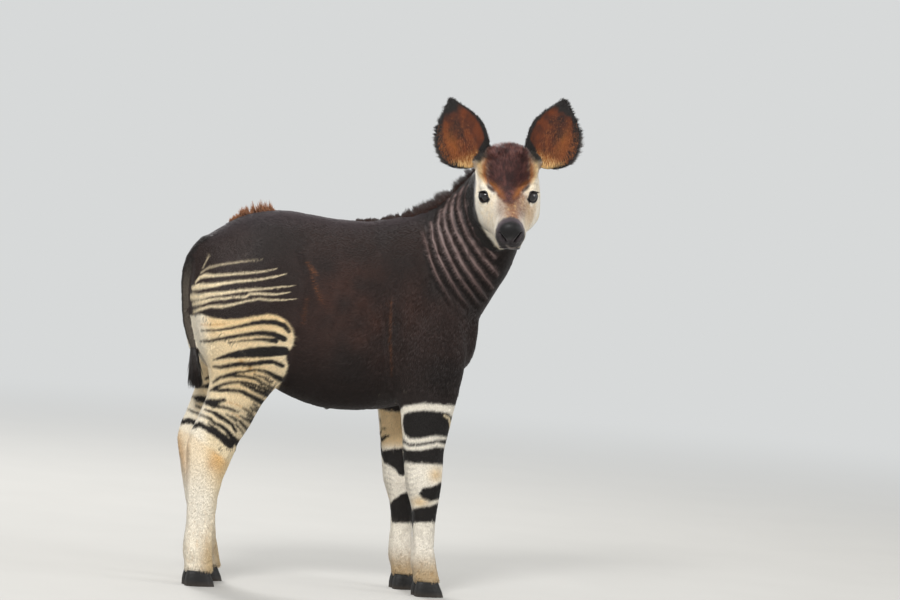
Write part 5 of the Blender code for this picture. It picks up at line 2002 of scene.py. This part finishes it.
@dataclass(frozen=True)
class EyeFinish:
    """A wet dark-brown eye. The cornea is a smooth clear film, so it shows the lights as sharp points."""

    name: str = "eye"
    iris: str = "#170d0a"
    rim: str = "#0d0908"
    pupil: str = "#030304"

    def build(self) -> Material:
        """The material, which reads each vertex's place about the gaze."""
        made, tree, shader = new_material(self.name)
        shader.inputs["Roughness"].default_value = 0.05
        shader.inputs["Specular IOR Level"].default_value = 0.50
        shader.inputs["Coat Weight"].default_value = 0.45
        shader.inputs["Coat Roughness"].default_value = 0.02
        place = add(tree, "ShaderNodeAttribute", {"attribute_name": "about_gaze"}).outputs["Vector"]
        stretched = add(
            tree, "ShaderNodeVectorMath", {"operation": "MULTIPLY", 1: (0.62, 1.5, 0.0)},
            {0: place},
        )
        pupil = add(tree, "ShaderNodeVectorMath", {"operation": "LENGTH"}, {0: stretched})
        reach = add(tree, "ShaderNodeVectorMath", {"operation": "LENGTH"}, {0: place})
        rays = add(tree, "ShaderNodeTexNoise", {"Scale": 9.0, "Detail": 4.0}, {"Vector": place})
        streaks = add(tree, "ShaderNodeMapRange", {"To Min": 0.55, "To Max": 1.5}, {"Value": rays})
        iris = add(
            tree, "ShaderNodeVectorMath", {"operation": "SCALE", 0: tuple(linear(self.iris))},
            {"Scale": streaks},
        )
        edge = add(
            tree, "ShaderNodeMapRange", {"From Min": 0.62, "From Max": 0.74},
            {"Value": reach.outputs["Value"]},
        )
        ring = add(
            tree, "ShaderNodeMix", {"data_type": "RGBA", 7: (*linear(self.rim), 1)},
            {0: edge, 6: iris},
        )
        hole = add(
            tree, "ShaderNodeMapRange", {"From Min": 0.22, "From Max": 0.27},
            {"Value": pupil.outputs["Value"]},
        )
        whole = add(
            tree, "ShaderNodeMix", {"data_type": "RGBA", 6: (*linear(self.pupil), 1)},
            {0: hole, 7: ring.outputs[2]},
        )
        wire(shader, {"Base Color": whole.outputs[2]})
        return made


@dataclass
class Eyes:
    """The eyeballs, with a cornea that stands a little proud."""

    cornea_rise: float = 0.0004
    rings: int = 40
    segments: int = 56

    def build(self) -> None:
        """Makes both eyeballs where the solids hold them."""
        finish = EyeFinish().build()
        for side, sign in SIDES.items():
            made = bmesh.new()
            bmesh.ops.create_uvsphere(
                made, u_segments=self.segments, v_segments=self.rings, radius=PLACING.eye_radius - 0.0002
            )
            mesh = poured(made, f"eyeball_{side}")
            ball = places(mesh)
            gaze, _, up = LIDS.axes(sign)
            local = ball / PLACING.eye_radius
            ball *= (1 + self.cornea_rise / PLACING.eye_radius * step(0.72, 0.95, local[:, 2]))[:, None]
            side_way = np.cross(up, gaze)
            turned = ball[:, 2:3] * gaze + ball[:, 0:1] * side_way + ball[:, 1:2] * up
            middle = PLACING.eye_at(sign)
            set_places(mesh, PLACING.from_head(turned + middle) + ORIGIN)
            angle = np.arccos(np.clip(local[:, 2], -1, 1)) / (math.pi / 2)
            flat = unit(local * (1, 1, 0)) * angle[:, None]
            set_attribute(mesh, "about_gaze", "FLOAT_VECTOR", flat)
            wear(mesh, finish)
            obj = link(mesh.name, mesh)
            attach(obj, "root")
            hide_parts(f"eye_{side}")
            log.info("%s: %d faces", obj.name, len(mesh.polygons))


@dataclass(frozen=True)
class HoofFinish:
    """Black hoof horn. It grows down in rings and is dusty and scuffed towards the ground."""

    name: str = "hoof_horn"
    horn: str = "#0f0d0c"
    worn: str = "#463c33"
    ring_gap: float = 0.0035

    def build(self) -> Material:
        """The material, with growth rings, fine grain along the horn and a worn lower edge."""
        made, tree, shader = new_material(self.name)
        shader.inputs["Specular IOR Level"].default_value = 0.45
        place = add(tree, "ShaderNodeTexCoord").outputs["Object"]
        rings = add(
            tree, "ShaderNodeTexWave",
            {"wave_type": "BANDS", "bands_direction": "Z", "Scale": 0.314 / self.ring_gap, "Distortion": 2.2,
             "Detail": 2.0, "Detail Scale": 1.4},
            {"Vector": place},
        )
        drawn = add(
            tree, "ShaderNodeVectorMath", {"operation": "MULTIPLY", 1: (1.0, 1.0, 0.12)},
            {0: place},
        )
        grain = add(tree, "ShaderNodeTexNoise", {"Scale": 900.0, "Detail": 4.0}, {"Vector": drawn})
        high = add(tree, "ShaderNodeSeparateXYZ", links={"Vector": place})
        worn = add(
            tree, "ShaderNodeMapRange", {"From Min": 0.016, "From Max": 0.001}, {"Value": high.outputs["Z"]}
        )
        patchy = add(tree, "ShaderNodeMath", {"operation": "MULTIPLY"}, {0: worn, 1: grain})
        colour = add(
            tree, "ShaderNodeMix",
            {"data_type": "RGBA", 6: (*linear(self.horn), 1), 7: (*linear(self.worn), 1)},
            {0: patchy},
        )
        wire(shader, {"Base Color": colour.outputs[2]})
        rough = add(tree, "ShaderNodeMapRange", {"To Min": 0.30, "To Max": 0.65}, {"Value": grain})
        wire(shader, {"Roughness": rough})
        both = add(tree, "ShaderNodeMath", {"operation": "ADD"}, {0: rings.outputs["Fac"], 1: grain})
        relief = add(tree, "ShaderNodeBump", {"Strength": 0.5, "Distance": 0.0006}, {"Height": both})
        wire(shader, {"Normal": relief})
        return made


@dataclass
class Hooves:
    """The eight claws, rounded from copies of their solids, with flat soles on the floor."""

    edge: float = 0.0042
    waist: float = 0.86  # how wide the horn is under the hair, as a share of the sole
    cuts: int = 4
    sharp: float = 38.0  # degrees between faces that count as an edge

    def build(self) -> None:
        """Makes one piece for each foot."""
        finish = HoofFinish().build()
        for end in ("front", "hind"):
            for side in SIDES:
                names = [f"hoof_{end}_{side}_{claw}" for claw in ("outer", "inner")]
                whole = bmesh.new()
                for name in names:
                    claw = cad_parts[name].data.copy()
                    spots = places(claw)
                    low, high = spots.min(0), spots.max(0)
                    up = ((spots[:, 2] - low[2]) / (high[2] - low[2]))[:, None]
                    middle = (low + high) / 2 * (1, 1, 0)
                    narrow = 1 - (1 - self.waist) * up * (1, 0.6, 0)
                    set_places(claw, (spots - middle) * narrow + middle)
                    whole.from_mesh(claw)
                    bpy.data.meshes.remove(claw)
                bmesh.ops.remove_doubles(whole, verts=whole.verts, dist=WELD)
                piece = f"hooves_{end}_{side}"
                obj = link(piece, poured(whole, piece))
                rounding = obj.modifiers.new("rounding", "BEVEL")
                rounding.width, rounding.segments, rounding.limit_method = self.edge, self.cuts, "ANGLE"
                rounding.angle_limit = math.radians(self.sharp)
                settled(obj)
                wear(obj.data, finish)
                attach(obj, "root")
                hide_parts(*names)
                log.info("%s: %d faces", obj.name, len(obj.data.polygons))


@dataclass(frozen=True)
class Studio:
    """The plain pale floor, the soft lights and the photograph's camera."""

    floor_size: float = 200.0
    floor: str = "#b6b4b0"
    sky: str = "#e6e8e8"
    sky_strength: float = 0.86
    sweep: tuple = (2.2, 8.0)  # where the floor starts and ends its turn into the pale background
    lights: tuple = (
        # place, aim, size, power in watts
        ((-2.4, -4.4, 5.0), (0.05, 0.0, 0.65), 1.7, 300.0),
        ((4.4, -2.6, 3.0), (0.10, 0.0, 0.70), 2.6, 70.0),
        ((-1.0, 4.4, 5.0), (0.00, 0.0, 0.80), 2.0, 280.0),
    )

    def build(self) -> None:
        """Sets up the stage."""
        half = self.floor_size / 2
        floor = add_mesh("floor", [(-half, -half, 0), (half, -half, 0), (half, half, 0), (-half, half, 0)],
                         [(0, 1, 2, 3)], smooth=False)
        made, tree, shader = new_material("studio_floor")
        place = add(tree, "ShaderNodeTexCoord").outputs["Object"]
        grain = add(tree, "ShaderNodeTexNoise", {"Scale": 3.0, "Detail": 3.0}, {"Vector": place})
        tone = add(tree, "ShaderNodeMapRange", {"To Min": 0.97, "To Max": 1.03}, {"Value": grain})
        tinted = add(
            tree, "ShaderNodeVectorMath", {"operation": "SCALE", 0: tuple(linear(self.floor))},
            {"Scale": tone},
        )
        wire(shader, {"Base Color": tinted})
        shader.inputs["Roughness"].default_value = 0.9
        shader.inputs["Specular IOR Level"].default_value = 0.1
        reach = add(tree, "ShaderNodeVectorMath", {"operation": "LENGTH"}, {0: place})
        away = add(
            tree, "ShaderNodeMapRange",
            {"interpolation_type": "SMOOTHSTEP", "From Min": self.sweep[0], "From Max": self.sweep[1]},
            {"Value": reach.outputs["Value"]},
        )
        glow = add(
            tree, "ShaderNodeEmission", {"Color": (*linear(self.sky), 1), "Strength": self.sky_strength}
        )
        both = add(tree, "ShaderNodeMixShader", links={0: away, 1: shader, 2: glow})
        wire(tree.nodes["Material Output"], {"Surface": both})
        floor.data.materials.append(made)
        bpy.context.scene.view_settings.view_transform = "Standard"
        world = bpy.data.worlds.new("studio")
        bpy.context.scene.world = world
        world.use_nodes = True
        background = world.node_tree.nodes["Background"]
        background.inputs["Color"].default_value = (*linear(self.sky), 1)
        background.inputs["Strength"].default_value = self.sky_strength
        for i, (spot, aim, size, power) in enumerate(self.lights):
            lamp = bpy.data.lights.new(f"softbox_{i}", "AREA")
            lamp.shape, lamp.size, lamp.energy = "DISK", size, power
            obj = link(lamp.name, lamp)
            obj.location = Vector(spot)
            obj.rotation_euler = (Vector(aim) - Vector(spot)).to_track_quat("-Z", "Y").to_euler()
        lens = bpy.data.cameras.new("photo_camera")
        lens.sensor_width = SENSOR
        lens.lens = SENSOR * PLACING.distance / PLACING.view_width
        lens.clip_end = self.floor_size
        camera = link("photo_camera", lens)
        camera.matrix_world = Matrix.Translation(Vector(ORIGIN)) @ PLACING.camera()
        bpy.context.scene.camera = camera


def main() -> None:
    """Builds the calf, its coat and the stage."""
    logging.basicConfig(level=logging.INFO, format="%(relativeCreated)6d ms %(message)s")
    Studio().build()
    skin = Skin().build()
    coat = Coat(skin)
    grower = Grower()
    for name, (picked, slot) in coat.pieces().items():
        grower.grow(name, coat.roots(picked), slot, TuftShape.SPIKE, 0.5)
    LongHair(coat, grower).build()
    grower.put_away()
    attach(skin, "root")
    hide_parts(*FLESH)
    Eyes().build()
    Hooves().build()


if __name__ == "__main__":
    main()
